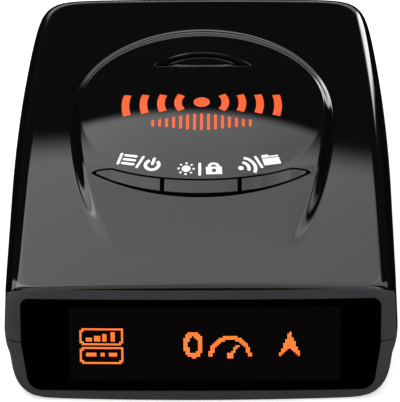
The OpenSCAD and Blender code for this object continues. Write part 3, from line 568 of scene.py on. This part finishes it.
# shrunk sleeve: dark blue satin film
SLEEVE = finish_of("shrunk_sleeve", "#20263c", "#283052", (0.3, 0.4), grain=0.8, relief=0.01, soft=3.0)
# clear acrylic: pale polished optic
CLEAR = finish_of("moulded_clear_acrylic", "#b6c2ca", "#c4ced4", (0.04, 0.08), ior=1.49, soft=3.0)
# printed polyester foil: brushed silver label stock
FOIL = finish_of(
    "printed_polyester_foil", "#9c9e9f", "#a8aaab", (0.32, 0.42), metallic=0.4, grain=0.6, relief=0.004,
    soft=5.0,
)
# display glass: dark and smooth
GLASS = finish_of("display_glass", "#0c0e10", "#101215", (0.04, 0.07), soft=6.0)

# what each kept CAD node is made of
CARRIED = {
    "window_gasket": FOAM, "oled_panel": GLASS, "oled_flex": FLEX, "display_carrier": WHITE_ABS,
    "light_sensor": CLEAR, "left_key_stem": ACETAL, "middle_key_stem": ACETAL, "right_key_stem": ACETAL,
    "key_board": BOARD, "key_switches": EPOXY, "key_board_screws": STEEL, "key_flex": FLEX,
    "gps_antenna": CERAMIC, "latch_frame": ACETAL, "bracket_channel": NYLON, "channel_screws": STEEL,
    "radar_horn": ZINC, "rf_board": BOARD, "laser_lens": CLEAR, "laser_board": BOARD, "main_board": BOARD,
    "main_chips": EPOXY, "shield_can": TIN, "capacitors": SLEEVE, "backup_cell": TIN, "speaker": EPOXY,
    "speaker_gasket": FOAM, "power_jack": NYLON, "power_contacts": GOLD, "usb_socket": TIN,
    "usb_tongue": NYLON, "phone_jack": NYLON, "case_screws": STEEL, "screw_inserts": BRASS,
    "board_screws": STEEL, "rating_label": FOIL,
}
for node_name, finish in CARRIED.items():
    data = NODES[node_name].data
    data.materials.clear()
    data.materials.append(finish)


# ---------------------------------------------------------------- moulded shells

AROUND = outline(420)


def side_cutters():
    """Round hole for the earphone jack and rounded rectangles for the USB and power sockets, as stacks
    along X.
    """
    a = np.linspace(0.0, 2.0 * np.pi, 48, endpoint=False)

    def squared(w, h, r):
        c, s = np.cos(a), np.sin(a)
        return np.stack([np.sign(c) * (w / 2 - r) + r * c, np.sign(s) * (h / 2 - r) + r * s], -1)

    holes = [
        (1, -9.0, 12.0, np.stack([3.0 * np.cos(a), 3.0 * np.sin(a)], -1)),
        (1, -22.0, 10.1, squared(9.2, 3.8, 0.6)),
        (-1, -8.0, 14.2, squared(11.2, 8.2, 0.8)),
    ]
    out = []
    for side, y, z, shape in holes:
        stack = []
        for x, grow in ((30.0, 0.0), (40.4, 0.0), (41.6, 0.55)):
            s = shape * (1.0 + grow / np.abs(shape).max())
            stack.append(np.stack([np.full(len(a), side * x), y + s[:, 0], z + s[:, 1]], -1))
        out.append(rings("side_hole", stack if side > 0 else stack[::-1]))
    return out


def nose_cutter(z0, z1):
    """Rounded notch in the nose round the bracket channel."""
    x = np.linspace(-NOTCH_HALF, NOTCH_HALF, 5)
    y = np.linspace(NOTCH_Y, 60.0, 5)
    X, Y = np.meshgrid(x, y, indexing="ij")
    return sheet(
        "nose_notch", np.stack([X, Y, np.full_like(X, z1)], -1), np.stack([X, Y, np.full_like(X, z0)], -1)
    )


def band_cutter():
    """Key opening: its wall follows the roof's surface and flares by a third of a millimetre at the lip."""
    path = band_path()
    stack = [np.column_stack([path, np.full(len(path), 20.0)])]
    for drop, grow in ((1.2, 0.0), (0.3, 0.0), (0.12, 0.03), (0.03, 0.1), (-0.3, 0.35)):
        p = offset(path, grow)
        stack.append(np.column_stack([p, top_z(p[:, 0], p[:, 1]) - drop]))
    return rings("key_opening", stack, True)


def release_cutters():
    """Crescent pocket with a sloped rim behind the button, and the button's own hole below it."""
    g = KEY_GAP
    hole = moon(RELEASE_W + 2 * g, RELEASE_D + 2 * g, RELEASE_Y - g)
    foot = moon(RELEASE_W + 2 * g + 0.4, RELEASE_D + 2 * g + 0.4, RELEASE_Y - g - 0.2)
    rim = moon(POCKET_W, POCKET_D, RELEASE_Y - 0.6)
    stack = [np.column_stack([foot, np.full(len(foot), POCKET_Z)])]
    for t, lift in ((0.15, 0.25), (0.5, 0.45), (0.85, 0.8)):
        p = mix(foot, rim, t)
        stack.append(np.column_stack([p, mix(POCKET_Z, top_z(p[:, 0], p[:, 1]) - 0.3, lift)]))
    for grow, drop in ((0.0, 0.28), (0.1, 0.1), (0.24, -0.03), (0.3, -0.4), (0.3, -2.5)):
        p = offset(rim, grow)
        stack.append(np.column_stack([p, top_z(p[:, 0], p[:, 1]) - drop]))
    deep = [np.column_stack([hole, np.full(len(hole), z)]) for z in (POCKET_Z - 4.0, POCKET_Z + 0.5)]
    return [rings("release_pocket", stack), rings("release_hole", deep)]


def make_cover():
    """Gloss cover: outer skin joined at the parting line to an inner skin 2 mm inside it, then cut for
    keys, button, display and sockets.
    """
    outer = upper_skin(AROUND, PART_Z + SEAM, 0.0, 0.0, 1)
    lip = [
        plan(AROUND, PART_Z + SEAM, 0.35, 0.35, 0.35),
        plan(AROUND, PART_Z + SEAM, WALL, BEZEL_T - 0.4, WALL),
    ]
    inner = upper_skin(AROUND, PART_Z + SEAM + 0.01, WALL, BEZEL_T - 0.4, 0)
    stack = outer[::-1] + lip + inner
    cover = rings("top_cover_skin", stack[::-1])
    pad = moon(POCKET_W + 3.0, POCKET_D + 3.0, RELEASE_Y - 3.0)
    levels = [np.column_stack([pad, np.full(len(pad), z)]) for z in (POCKET_Z - 1.5, POCKET_Z + 1.55)]
    carve(cover, rings("pocket_pad", levels), "UNION")
    carve(cover, bezel_block(0.03, BEZEL_T + 0.02, -20.0))
    for tool in [band_cutter()] + release_cutters() + side_cutters() + [nose_cutter(10.0, 18.9)]:
        carve(cover, tool)
    return shade(cover, GLOSS, 40.0)


def window_cutter():
    """The window's rebate, and the through opening behind it."""
    rebate = face_stack(window_outline, [(0.04, -3.0), (0.04, WIN_REBATE)])
    through = face_stack(window_outline, [(-3.5, 1.0), (-3.5, 12.0)])
    return [rings("window_rebate", rebate[::-1]), rings("window_through", through[::-1])]


def make_bezel():
    """Upper half of the matte frame: the casing's own form, kept between the face and 2.5 mm behind it,
    less the window.
    """
    form = upper_skin(AROUND, PART_Z + SEAM / 2, 0.0, 0.0, 1)[:60]
    bezel = rings("upper_bezel_plate", form)
    carve(bezel, bezel_block(0.0, BEZEL_T, -6.0), "INTERSECT")
    for tool in window_cutter():
        carve(bezel, tool)
    return shade(bezel, MATTE, 30.0)


def slot_bar(x, y, half, w):
    """Round-ended slot through the floor, as a stack along Z with a small flare outside."""
    a = np.linspace(0.0, 2.0 * np.pi, 32, endpoint=False)
    shape = np.stack([x + w / 2 * np.cos(a), y + np.sign(np.sin(a)) * (half - w / 2) + w / 2 * np.sin(a)], -1)
    wide = offset(shape, 0.2)
    return rings(
        "grille_slot",
        [
            np.column_stack([wide, np.full(32, -0.1)]), np.column_stack([shape, np.full(32, 0.25)]),
            np.column_stack([shape, np.full(32, 4.0)]),
        ],
    )


def recess(name, x, y, w, h, r, z0, z1):
    a = np.linspace(0.0, 2.0 * np.pi, 40, endpoint=False)
    c, s = np.cos(a), np.sin(a)
    shape = np.stack([x + np.sign(c) * (w / 2 - r) + r * c, y + np.sign(s) * (h / 2 - r) + r * s], -1)
    return rings(name, [np.column_stack([shape, np.full(40, z)]) for z in (z0, z1)])


def lens_block(grow):
    """Prism through the nose for the laser window, with rounded corners."""
    a = np.linspace(0.0, 2.0 * np.pi, 64, endpoint=False)
    w, h, r = LENS_W + 2 * grow, LENS_H + 2 * grow, LENS_R
    c, s = np.cos(a), np.sin(a)
    shape = np.stack([np.sign(c) * (w / 2 - r) + r * c, LENS_Z + np.sign(s) * (h / 2 - r) + r * s], -1)
    stack = [np.stack([shape[:, 0], np.full(64, y), shape[:, 1]], -1) for y in (47.8, 60.0)]
    return rings("lens_block", stack[::-1])


def make_case():
    """Lower case: stepped outer skin, a floor and walls 2 mm thick, window opening, grille, screw wells,
    label recess and nose window.
    """
    outer = lower_skin(AROUND, 0.0, 0.0, -1.0)
    inner = lower_skin(AROUND[::4], WALL, BEZEL_T - 0.4, WALL)
    case = rings("bottom_case_shell", outer[::-1])
    top = [inner[0] + np.array([0.0, 0.0, 3.0])] + inner[1:]
    carve(case, rings("cavity", [r for r in top[::-1]]))
    for tool in window_cutter():
        carve(case, tool)
    for i in range(-GRILLE_SIDE, GRILLE_SIDE + 1):
        carve(case, slot_bar(GRILLE_PITCH * i, GRILLE_Y, math.sqrt(GRILLE_R**2 - 7.3 * i * i), GRILLE_SLOT))
    a = np.linspace(0.0, 2.0 * np.pi, 48, endpoint=False)
    for x, y in BOSSES:
        well = [
            np.column_stack([x + r * np.cos(a), y + r * np.sin(a), np.full(48, z)])
            for r, z in ((WELL_R + 0.35, -0.1), (WELL_R, 0.25), (WELL_R, WELL_TOP))
        ]
        post = [
            np.column_stack([x + BOSS_R * np.cos(a), y + BOSS_R * np.sin(a), np.full(48, z)])
            for z in (0.6, 5.0)
        ]
        carve(case, rings("boss", post), "UNION")
        carve(case, rings("screw_well", well))
    carve(case, recess("label_recess", 0.0, LABEL_Y, LABEL_W, LABEL_L, LABEL_R, -1.0, LABEL_DEEP))
    carve(case, lens_block(0.03))
    for tool in side_cutters() + [nose_cutter(12.4, 20.0)]:
        carve(case, tool)
    return shade(case, MATTE, 30.0)


def make_lens():
    """Nose window: a 1.4 mm skin of the case's own form inside the opening."""
    lens = rings("nose_window", lower_skin(AROUND, 0.05, 0.0, 0.5)[::-1])
    carve(lens, lens_block(0.0), "INTERSECT")
    carve(lens, rings("lens_hollow", lower_skin(AROUND, LENS_T, 0.6, 0.0)[::-1]))
    return shade(lens, LENS, 30.0)


def make_window():
    """Smoked window: concentric rings over the bowed front, a small rounded edge, and its flat-sided back."""
    base = window_outline(-0.02)

    front = [face_point(*(base * s).T, 0.02) for s in (0.02, 0.2, 0.4, 0.6, 0.75, 0.88, 0.95)]
    rim = [
        face_point(*window_outline(-0.02 - g).T, d)
        for g, d in ((0.3, 0.02), (0.14, 0.045), (0.05, 0.1), (0.0, 0.22), (0.0, 1.45))
    ]
    back = [face_point(*(base * s).T, WIN_BACK) for s in (0.99, 0.5, 0.02)]
    return shade(rings("smoked_window", front + rim + back), SMOKED, 50.0)


# ---------------------------------------------------------------- keys and release button


def key_height(x, t):
    """Top that falls at a constant slope from the dome's edge to the front."""
    return top_z(x, key_up(x) + 0.3) - KEY_SLOPE * (1.0 - t) * np.maximum(0.0, key_up(x) - key_lo(x))


def make_key(name, x0, x1):
    """Crescent key on a grid (along, across): sloped top with edges rounded over r by distance to the
    nearest side.
    """
    r = KEY_EDGE_R
    s = (1.0 - np.cos(np.linspace(0.0, np.pi, 97))) / 2.0
    t = (1.0 - np.cos(np.linspace(0.0, np.pi, 41))) / 2.0
    S, T = np.meshgrid(mix(x0, x1, s), t, indexing="ij")
    front = key_lo(S) + KEY_FRONT_GAP
    rear = key_up(S) - KEY_GAP
    Y = mix(front, rear, T)
    dx = np.minimum(S - x0, x1 - S)
    dy = np.minimum(T, 1.0 - T) * np.maximum(rear - front, 0.0)
    over = np.hypot(np.clip(r - dx, 0.0, r), np.clip(r - dy, 0.0, r))
    fall = r - np.sqrt(np.maximum(0.0, r * r - np.minimum(over, r) ** 2))
    top = np.stack([S, Y, key_height(S, T) - fall], -1)
    bottom = np.stack([S, Y, np.full_like(S, KEY_UNDER)], -1)
    return shade(sheet(name, top, bottom), GLOSS, 60.0)


def make_release():
    """Half-moon button: its top slopes gently to the nose, its edges rounded, with a flange under the
    cover.
    """
    stack = []
    for grow, z, lean in (
        (0.8, POCKET_Z - 3.3, 0), (0.8, POCKET_Z - 2.1, 0), (0.0, POCKET_Z - 2.1, 0),
        (0.0, RELEASE_TOP - 0.42, 1), (-0.05, RELEASE_TOP - 0.24, 1), (-0.16, RELEASE_TOP - 0.1, 1),
        (-0.34, RELEASE_TOP - 0.02, 1), (-0.6, RELEASE_TOP, 1),
    ):
        p = offset(moon(RELEASE_W, RELEASE_D, RELEASE_Y), grow)
        stack.append(np.column_stack([p, z - 0.12 * lean * (p[:, 1] - RELEASE_Y)]))
    last = stack[-1]
    mid = last.mean(0)
    stack += [mix(last, mid, s) for s in (0.3, 0.6, 0.9)]
    return shade(rings("release_button_cap", stack), GLOSS, 50.0)


# ---------------------------------------------------------------- print on the dome


def stroke(path, w):
    """Strip along a plan path: the path plus and minus half its width along the normal, its ends closed as
    half circles.
    """
    p = np.asarray(path, float)
    if len(p) == 2:
        p = mix(p[0], p[1], np.linspace(0.0, 1.0, 7)[:, None])
    t = np.gradient(p, axis=0)
    t /= np.linalg.norm(t, axis=1)[:, None]
    half = np.full(len(p), w / 2.0)
    a = np.linspace(0.15, math.pi / 2.0, 6)
    reach, thin = (w / 2.0 * np.cos(a))[:, None], w / 2.0 * np.sin(a)
    p = np.concatenate([p[0] - t[0] * reach, p[1:-1], p[-1] + t[-1] * reach[::-1]])
    half = np.concatenate([thin, half[1:-1], thin[::-1]])
    t = np.concatenate([np.repeat(t[:1], 6, 0), t[1:-1], np.repeat(t[-1:], 6, 0)])
    n = np.stack([-t[:, 1], t[:, 0]], -1)
    return p[:, None, :] + n[:, None, :] * half[:, None, None] * np.linspace(-1.0, 1.0, 5)[None, :, None]


def arc(x, y, r0, r1, start=0.0, stop=360.0):
    """Ring sector in plan: rows outwards from r0 to r1, columns anticlockwise from start to stop degrees."""
    a = np.radians(np.linspace(start, stop, 49))
    R, A = np.meshgrid(np.linspace(r0, r1, 5), a, indexing="ij")
    return np.stack([x + R * np.cos(A), y + R * np.sin(A)], -1)


def block(x, y, w, h):
    """Rectangle about (x, y)."""
    u, v = np.meshgrid(np.linspace(-0.5, 0.5, 9), np.linspace(-0.5, 0.5, 9), indexing="ij")
    return np.stack([x + u * w, y + v * h], -1)


def printed(name, marks, material, place, proud, deep):
    """Thin closed slabs, one per plan mark, laid on a surface: place(u, v, height) gives a point, height
    above it outwards.
    """
    points, quads, start = [], [], 0
    for grid in marks:
        m, n = grid.shape[:2]
        u, v = grid[..., 0], grid[..., 1]
        slab = np.concatenate([place(u, v, proud).reshape(-1, 3), place(u, v, -deep).reshape(-1, 3)])
        points.append(slab)
        quads.append(slab_faces(m, n) + start)
        start += 2 * m * n
    return shade(put(name, np.concatenate(points), np.concatenate(quads)), material, 35.0)


def on_roof(x, y, height):
    return np.stack([x, y, top_z(x, y) + height], -1)


def turned(marks, x, y, degrees):
    """Marks drawn about (0, 0), turned and moved to (x, y)."""
    a = math.radians(degrees)
    c, s = math.cos(a), math.sin(a)
    return [
        np.stack([x + m[..., 0] * c - m[..., 1] * s, y + m[..., 0] * s + m[..., 1] * c], -1)
        for m in marks
    ]


def wave_motif():
    """Orange mark: a disc between pairs of growing arcs, as waves leaving a source, over a row of thin
    rising and falling bars.
    """
    y = 5.1
    marks = [arc(0.0, y, 0.05, 1.75)]
    for i, r in enumerate((4.3, 8.0, 11.8, 15.7)):
        half = math.degrees(math.asin(min(0.98, (2.3 + 0.42 * i) / r)))
        for side in (0.0, 180.0):
            marks.append(arc(0.0, y, r, r + 1.65, side - half, side + half))
    for i in range(-7, 8):
        tall = 1.7 + 3.4 * math.cos(i * math.pi / 15.0) ** 2
        marks.append(stroke([(1.5 * i, -1.9 - tall / 2.0), (1.5 * i, -1.9 + tall / 2.0)], 0.62))
    return marks


def key_icons():
    """White marks above each key: list, power, sun, padlock, waves and folder, each pair parted by a
    slanted bar.
    """
    listed = [stroke([(-1.8, -1.5), (-1.8, 1.5)], 0.6)]
    listed += [stroke([(-0.85, h), (1.5, h)], 0.66) for h in (-1.2, 0.0, 1.2)]
    power = [arc(0.0, -0.1, 1.05, 1.8, -235.0, 55.0), stroke([(0.0, 0.15), (0.0, 1.8)], 0.66)]
    rays = np.radians(np.arange(0, 360, 45))
    sun = [arc(0.0, 0.0, 0.03, 0.95)] + [arc(1.6 * math.cos(a), 1.6 * math.sin(a), 0.02, 0.27) for a in rays]
    lock = [
        block(-1.05, -0.55, 1.3, 2.2), block(1.05, -0.55, 1.3, 2.2), block(0.0, 0.25, 0.9, 0.6),
        block(0.0, -1.35, 0.9, 0.6), arc(0.0, 0.5, 0.65, 1.3, -20.0, 200.0),
    ]
    waves = [arc(-1.3, -0.9, 0.02, 0.6)] + [arc(-1.3, -0.9, r, r + 0.72, -34.0, 66.0) for r in (1.35, 2.75)]
    folder = [block(0.0, -0.6, 3.7, 2.0), block(0.0, 0.85, 3.7, 0.4), block(-0.95, 1.25, 1.5, 0.5)]
    bar = [stroke([(-0.25, -1.6), (0.25, 1.6)], 0.6)]
    placed = [
        (listed, -15.6, -13.1, -16.0), (bar, -13.0, -14.1, -16.0), (power, -10.4, -15.1, -14.0),
        (sun, -3.2, -16.7, -3.0), (bar, -0.3, -16.9, 9.0), (lock, 2.7, -16.7, 3.0),
        (waves, 9.5, -15.2, 13.0), (bar, 12.2, -14.3, 34.0), (folder, 14.8, -13.2, 16.0),
    ]
    return [mark for marks, x, y, degrees in placed for mark in turned(marks, x, y, degrees)]


# ---------------------------------------------------------------- lit readout


def lit_dots():
    """Dots of the display that are lit: a grid tested against frames, bars, blocks, a ring, a gauge and an
    arrow, as (x, height) grids.
    """
    X, Z = np.meshgrid(np.arange(-26.6, 28.4, DOT_X), np.arange(6.6, 18.4, DOT_Z), indexing="ij")

    def box(x0, x1, z0, z1):
        return (X > x0) & (X < x1) & (Z > z0) & (Z < z1)

    def ring(x0, x1, z0, z1, w, power):
        cx, cz, rx, rz = (x0 + x1) / 2, (z0 + z1) / 2, (x1 - x0) / 2, (z1 - z0) / 2
        d = lambda g: (np.abs((X - cx) / (rx - g)) ** power + np.abs((Z - cz) / (rz - g)) ** power) < 1.0
        return d(0.0) & ~d(w)

    def cut_box(x0, x1, z0, z1, g=0.0):
        dx, dz = np.abs(X - (x0 + x1) / 2), np.abs(Z - (z0 + z1) / 2)
        rx, rz = (x1 - x0) / 2 - g, (z1 - z0) / 2 - g
        return (dx < rx) & (dz < rz) & (dx + dz < rx + rz - 0.6)

    low_box, high_box = (-25.1, -15.9, 8.5, 12.3), (-25.1, -15.9, 12.6, 16.4)
    frames = cut_box(*low_box) & ~cut_box(*low_box, 0.42) | cut_box(*high_box) & ~cut_box(*high_box, 0.42)
    bars = box(-23.6, -22.7, 13.4, 14.1) | box(-21.9, -21.0, 13.4, 14.5)
    bars |= box(-20.2, -19.3, 13.4, 15.0) | box(-18.5, -17.6, 13.4, 15.6)
    blocks = box(-23.6, -21.6, 9.9, 10.9) | box(-20.8, -20.0, 9.9, 10.9) | box(-19.1, -17.4, 9.9, 10.9)
    zero = ring(-3.55, 0.35, 9.85, 15.45, 1.0, 2.4)
    r = np.hypot(X - 6.05, Z - 10.3)
    needle = (np.abs((X - 6.05) - (Z - 10.3) * 0.7) < 0.36) & (Z > 10.3) & (r < 3.0)
    gauge = ((r < 4.4) & (r > 3.5) & (Z > 10.0)) | (r < 0.75) | needle
    arrow = (np.abs(X - 18.4) < (15.6 - Z) * 0.42) & (Z > 10.0) & (np.abs(X - 18.4) > (11.9 - Z) * 1.1)
    on = frames | bars | blocks | zero | gauge | arrow
    x, z = X[on], Z[on]
    u, v = np.meshgrid([-0.46, 0.46], [-0.46, 0.46], indexing="ij")
    h = (z - WIN_Z) / math.cos(RAKE)
    return [np.stack([a + u * DOT_X, b + v * DOT_Z], -1) for a, b in zip(x, h)]


def on_face(x, h, height):
    return face_point(x, h, 0.02 - height)


# ---------------------------------------------------------------- latch spring


def make_spring():
    """Coil spring: a round wire along a helix whose pitch closes at both ends, between the ends of the
    latch spring's own box.
    """
    low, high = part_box("latch_spring")
    t = np.linspace(0.0, 1.0, 221)
    a = 2.0 * np.pi * SPRING_TURNS * t
    z = mix(low[2] * 1000.0 + WIRE_R, high[2] * 1000.0 - WIRE_R, np.clip((t - 0.1) / 0.8, 0.0, 1.0))
    b = np.linspace(0.0, 2.0 * np.pi, 12, endpoint=False)
    A, B = np.meshgrid(a, b, indexing="ij")
    reach = SPRING_R + WIRE_R * np.cos(B)
    coil = [reach * np.cos(A), SPRING_Y + reach * np.sin(A), z[:, None] - WIRE_R * np.sin(B)]
    return shade(rings("latch_spring_coil", np.stack(coil, -1)), STEEL, 60.0)


# ---------------------------------------------------------------- the pieces on their bodies

fit(make_cover(), "casing", "top_cover")
fit(make_bezel(), "casing", "upper_bezel")
fit(make_case(), "casing", "bottom_case")
fit(make_lens(), "casing", "front_lens")
fit(make_window(), "casing", "display_window")
key_ends = {
    "left": (-TIP_X + TIP_GAP, -KEY_SPLIT - SPLIT_GAP),
    "middle": (-KEY_SPLIT + SPLIT_GAP, KEY_SPLIT - SPLIT_GAP),
    "right": (KEY_SPLIT + SPLIT_GAP, TIP_X - TIP_GAP),
}
for side, (x0, x1) in key_ends.items():
    fit(make_key(side + "_key_cap", x0, x1), side + "_key_body", side + "_key")
fit(make_release(), "release_body", "release_button")
spring = fit(make_spring(), "release_body", "latch_spring")
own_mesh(spring)
fit(printed("wave_motif_print", wave_motif(), ORANGE_INK, on_roof, 0.03, 0.05), "casing")
fit(printed("key_icon_print", key_icons(), WHITE_INK, on_roof, 0.03, 0.05), "casing")
glass_area = [
    np.stack(np.meshgrid(np.linspace(-27.2, 28.9, 57), np.linspace(-8.1, 8.6, 3), indexing="ij"), -1)
]
fit(printed("display_area", glass_area, PANEL, on_face, 0.012, 0.05), "casing")
fit(printed("lit_readout", lit_dots(), DOTS, on_face, 0.03, 0.0), "casing")


# ---------------------------------------------------------------- floor, light and camera

FLOOR_HALF, FLOOR_Z = 4000.0, -0.05
floor_corners = [(-1, -1), (1, -1), (1, 1), (-1, 1)]
floor = put("floor", [(FLOOR_HALF * x, FLOOR_HALF * y, FLOOR_Z) for x, y in floor_corners], [(0, 1, 2, 3)])

# matt paper, lit from within so that it stays pale; gloss mirrors it as dark, and from below it is clear
paper = bpy.data.materials.new("matt_white_paper")
paper.use_nodes = True
tree = paper.node_tree
page = tree.nodes["Principled BSDF"]
page.inputs["Base Color"].default_value = linear("#e8e8e8")
page.inputs["Roughness"].default_value = 0.9
page.inputs["Specular IOR Level"].default_value = 0.0
page.inputs["Emission Color"].default_value = linear("#ffffff")
page.inputs["Emission Strength"].default_value = 0.55
under = add(tree, "ShaderNodeNewGeometry").outputs["Backfacing"]
mirrored = add(tree, "ShaderNodeLightPath").outputs["Is Glossy Ray"]
dark = add(tree, "ShaderNodeBsdfDiffuse", Color=linear("#0c0c0c")).outputs[0]
clear = add(tree, "ShaderNodeBsdfTransparent").outputs[0]
top_side = add(tree, "ShaderNodeMixShader", i0=mirrored, i1=page.outputs[0], i2=dark).outputs[0]
both_sides = add(tree, "ShaderNodeMixShader", i0=under, i1=top_side, i2=clear).outputs[0]
tree.links.new(both_sides, tree.nodes["Material Output"].inputs["Surface"])
floor.data.materials.append(paper)

scene = bpy.context.scene
scene.view_settings.view_transform = "Standard"
world = bpy.data.worlds.new("studio")
world.use_nodes = True
scene.world = world
sky = world.node_tree
AMBIENT, BACKDROP = 0.02, 0.9  # light between the panels, and what the camera itself sees
toward = add(sky, "ShaderNodeTexCoord").outputs["Generated"]
split = add(sky, "ShaderNodeSeparateXYZ", Vector=toward)
rise = add(sky, "ShaderNodeMath", operation="ARCSINE", i0=split.outputs["Z"]).outputs[0]
turn = add(
    sky, "ShaderNodeMath", operation="ARCTAN2", i0=split.outputs["X"], i1=split.outputs["Y"]
).outputs[0]


def soft_light(strength, low, high, inner, outer, centre=0.0, top=None, end=None, slant=0.0):
    """Soft-edged panel on the sky, in degrees: it fades in from 'low' to 'high' elevation, out again from
    'top' to 'end', and from 'inner' to 'outer' about 'centre'; slant tips its lower edge.
    """
    tipped = add(sky, "ShaderNodeMath", operation="MULTIPLY_ADD", i0=turn, i1=-slant, i2=rise).outputs[0]
    up = add(
        sky, "ShaderNodeMapRange", interpolation_type="SMOOTHSTEP", Value=tipped,
        From_Min=math.radians(low), From_Max=math.radians(high), To_Min=0.0, To_Max=strength,
    ).outputs[0]
    if top is not None:
        down = add(
            sky, "ShaderNodeMapRange", interpolation_type="SMOOTHSTEP", Value=rise,
            From_Min=math.radians(top), From_Max=math.radians(end), To_Min=1.0, To_Max=0.0,
        ).outputs[0]
        up = add(sky, "ShaderNodeMath", operation="MULTIPLY", i0=up, i1=down).outputs[0]
    off = add(sky, "ShaderNodeMath", operation="SUBTRACT", i0=turn, i1=math.radians(centre)).outputs[0]
    away = add(sky, "ShaderNodeMath", operation="ABSOLUTE", i0=off).outputs[0]
    across = add(
        sky, "ShaderNodeMapRange", interpolation_type="SMOOTHSTEP", Value=away,
        From_Min=math.radians(inner), From_Max=math.radians(outer), To_Min=1.0, To_Max=0.0,
    ).outputs[0]
    return add(sky, "ShaderNodeMath", operation="MULTIPLY", i0=up, i1=across).outputs[0]


panels = [
    # large panel behind the nose, and its brighter left half
    soft_light(1.8, 35.8, 38.8, 30.0, 75.0, -30.0, slant=0.1),
    soft_light(0.6, 35.8, 38.8, 15.0, 50.0, -50.0, slant=0.1),
    # its right end
    soft_light(1.75, 41.0, 47.0, 12.0, 26.0, 38.0),
    # left and right wings
    soft_light(2.3, 4.0, 11.0, 11.0, 17.0, -63.0),
    soft_light(1.7, 12.0, 28.0, 9.0, 16.0, 66.0),
    # low glow and a narrow bright strip, mirrored by the dome's far edge
    soft_light(0.9, -4.0, 0.5, 17.0, 24.0, 0.0, 9.0, 13.5),
    soft_light(7.0, -4.0, 0.5, 4.0, 8.0, 25.0, 12.0, 19.0),
    # back right corner, and above the display
    soft_light(1.6, 22.0, 32.0, 12.0, 22.0, 128.0),
    soft_light(1.1, 34.0, 48.0, 130.0, 100.0),
]
total = panels[0]
for panel in panels[1:]:
    total = add(sky, "ShaderNodeMath", operation="ADD", i0=total, i1=panel).outputs[0]
lit = add(sky, "ShaderNodeMath", operation="ADD", i0=total, i1=AMBIENT).outputs[0]
seen = add(sky, "ShaderNodeLightPath").outputs["Is Camera Ray"]
level = add(sky, "ShaderNodeMix", data_type="FLOAT", i0=seen, i2=lit, i3=BACKDROP).outputs[0]
sky.links.new(level, sky.nodes["Background"].inputs["Strength"])
sky.nodes["Background"].inputs["Color"].default_value = (1.0, 1.0, 1.0, 1.0)

# camera: elevation, yaw and roll in degrees, distance and aim in metres, focal length and shift in frame sides
CAMERA_TURN = [math.radians(v) for v in (38.40, 0.72, -0.63)]
CAMERA_FAR, CAMERA_AIM = 0.8, Vector((0.0, -0.00037, 0.015))
CAMERA_FOCAL, CAMERA_SHIFT = 3672.0 / 402.0, (-2.2 / 402.0, -25.2 / 402.0)
SENSOR = 36.0

e, yaw, roll = CAMERA_TURN
back = Vector((math.sin(yaw) * math.cos(e), -math.cos(yaw) * math.cos(e), math.sin(e)))
right = (-back).cross(Vector((0.0, 0.0, 1.0))).normalized()
up = right.cross(-back)
across = right * math.cos(roll) + up * math.sin(roll)
above = up * math.cos(roll) - right * math.sin(roll)
place = CAMERA_AIM + back * CAMERA_FAR
lens = bpy.data.cameras.new("camera")
lens.lens = CAMERA_FOCAL * SENSOR
lens.shift_x, lens.shift_y = CAMERA_SHIFT
lens.clip_start, lens.clip_end = 0.05, 20.0
camera = bpy.data.objects.new("camera", lens)
axes = Matrix((across, above, back)).transposed()
camera.matrix_world = Matrix.Translation(place) @ axes.to_4x4()
bpy.context.collection.objects.link(camera)
scene.camera = camera
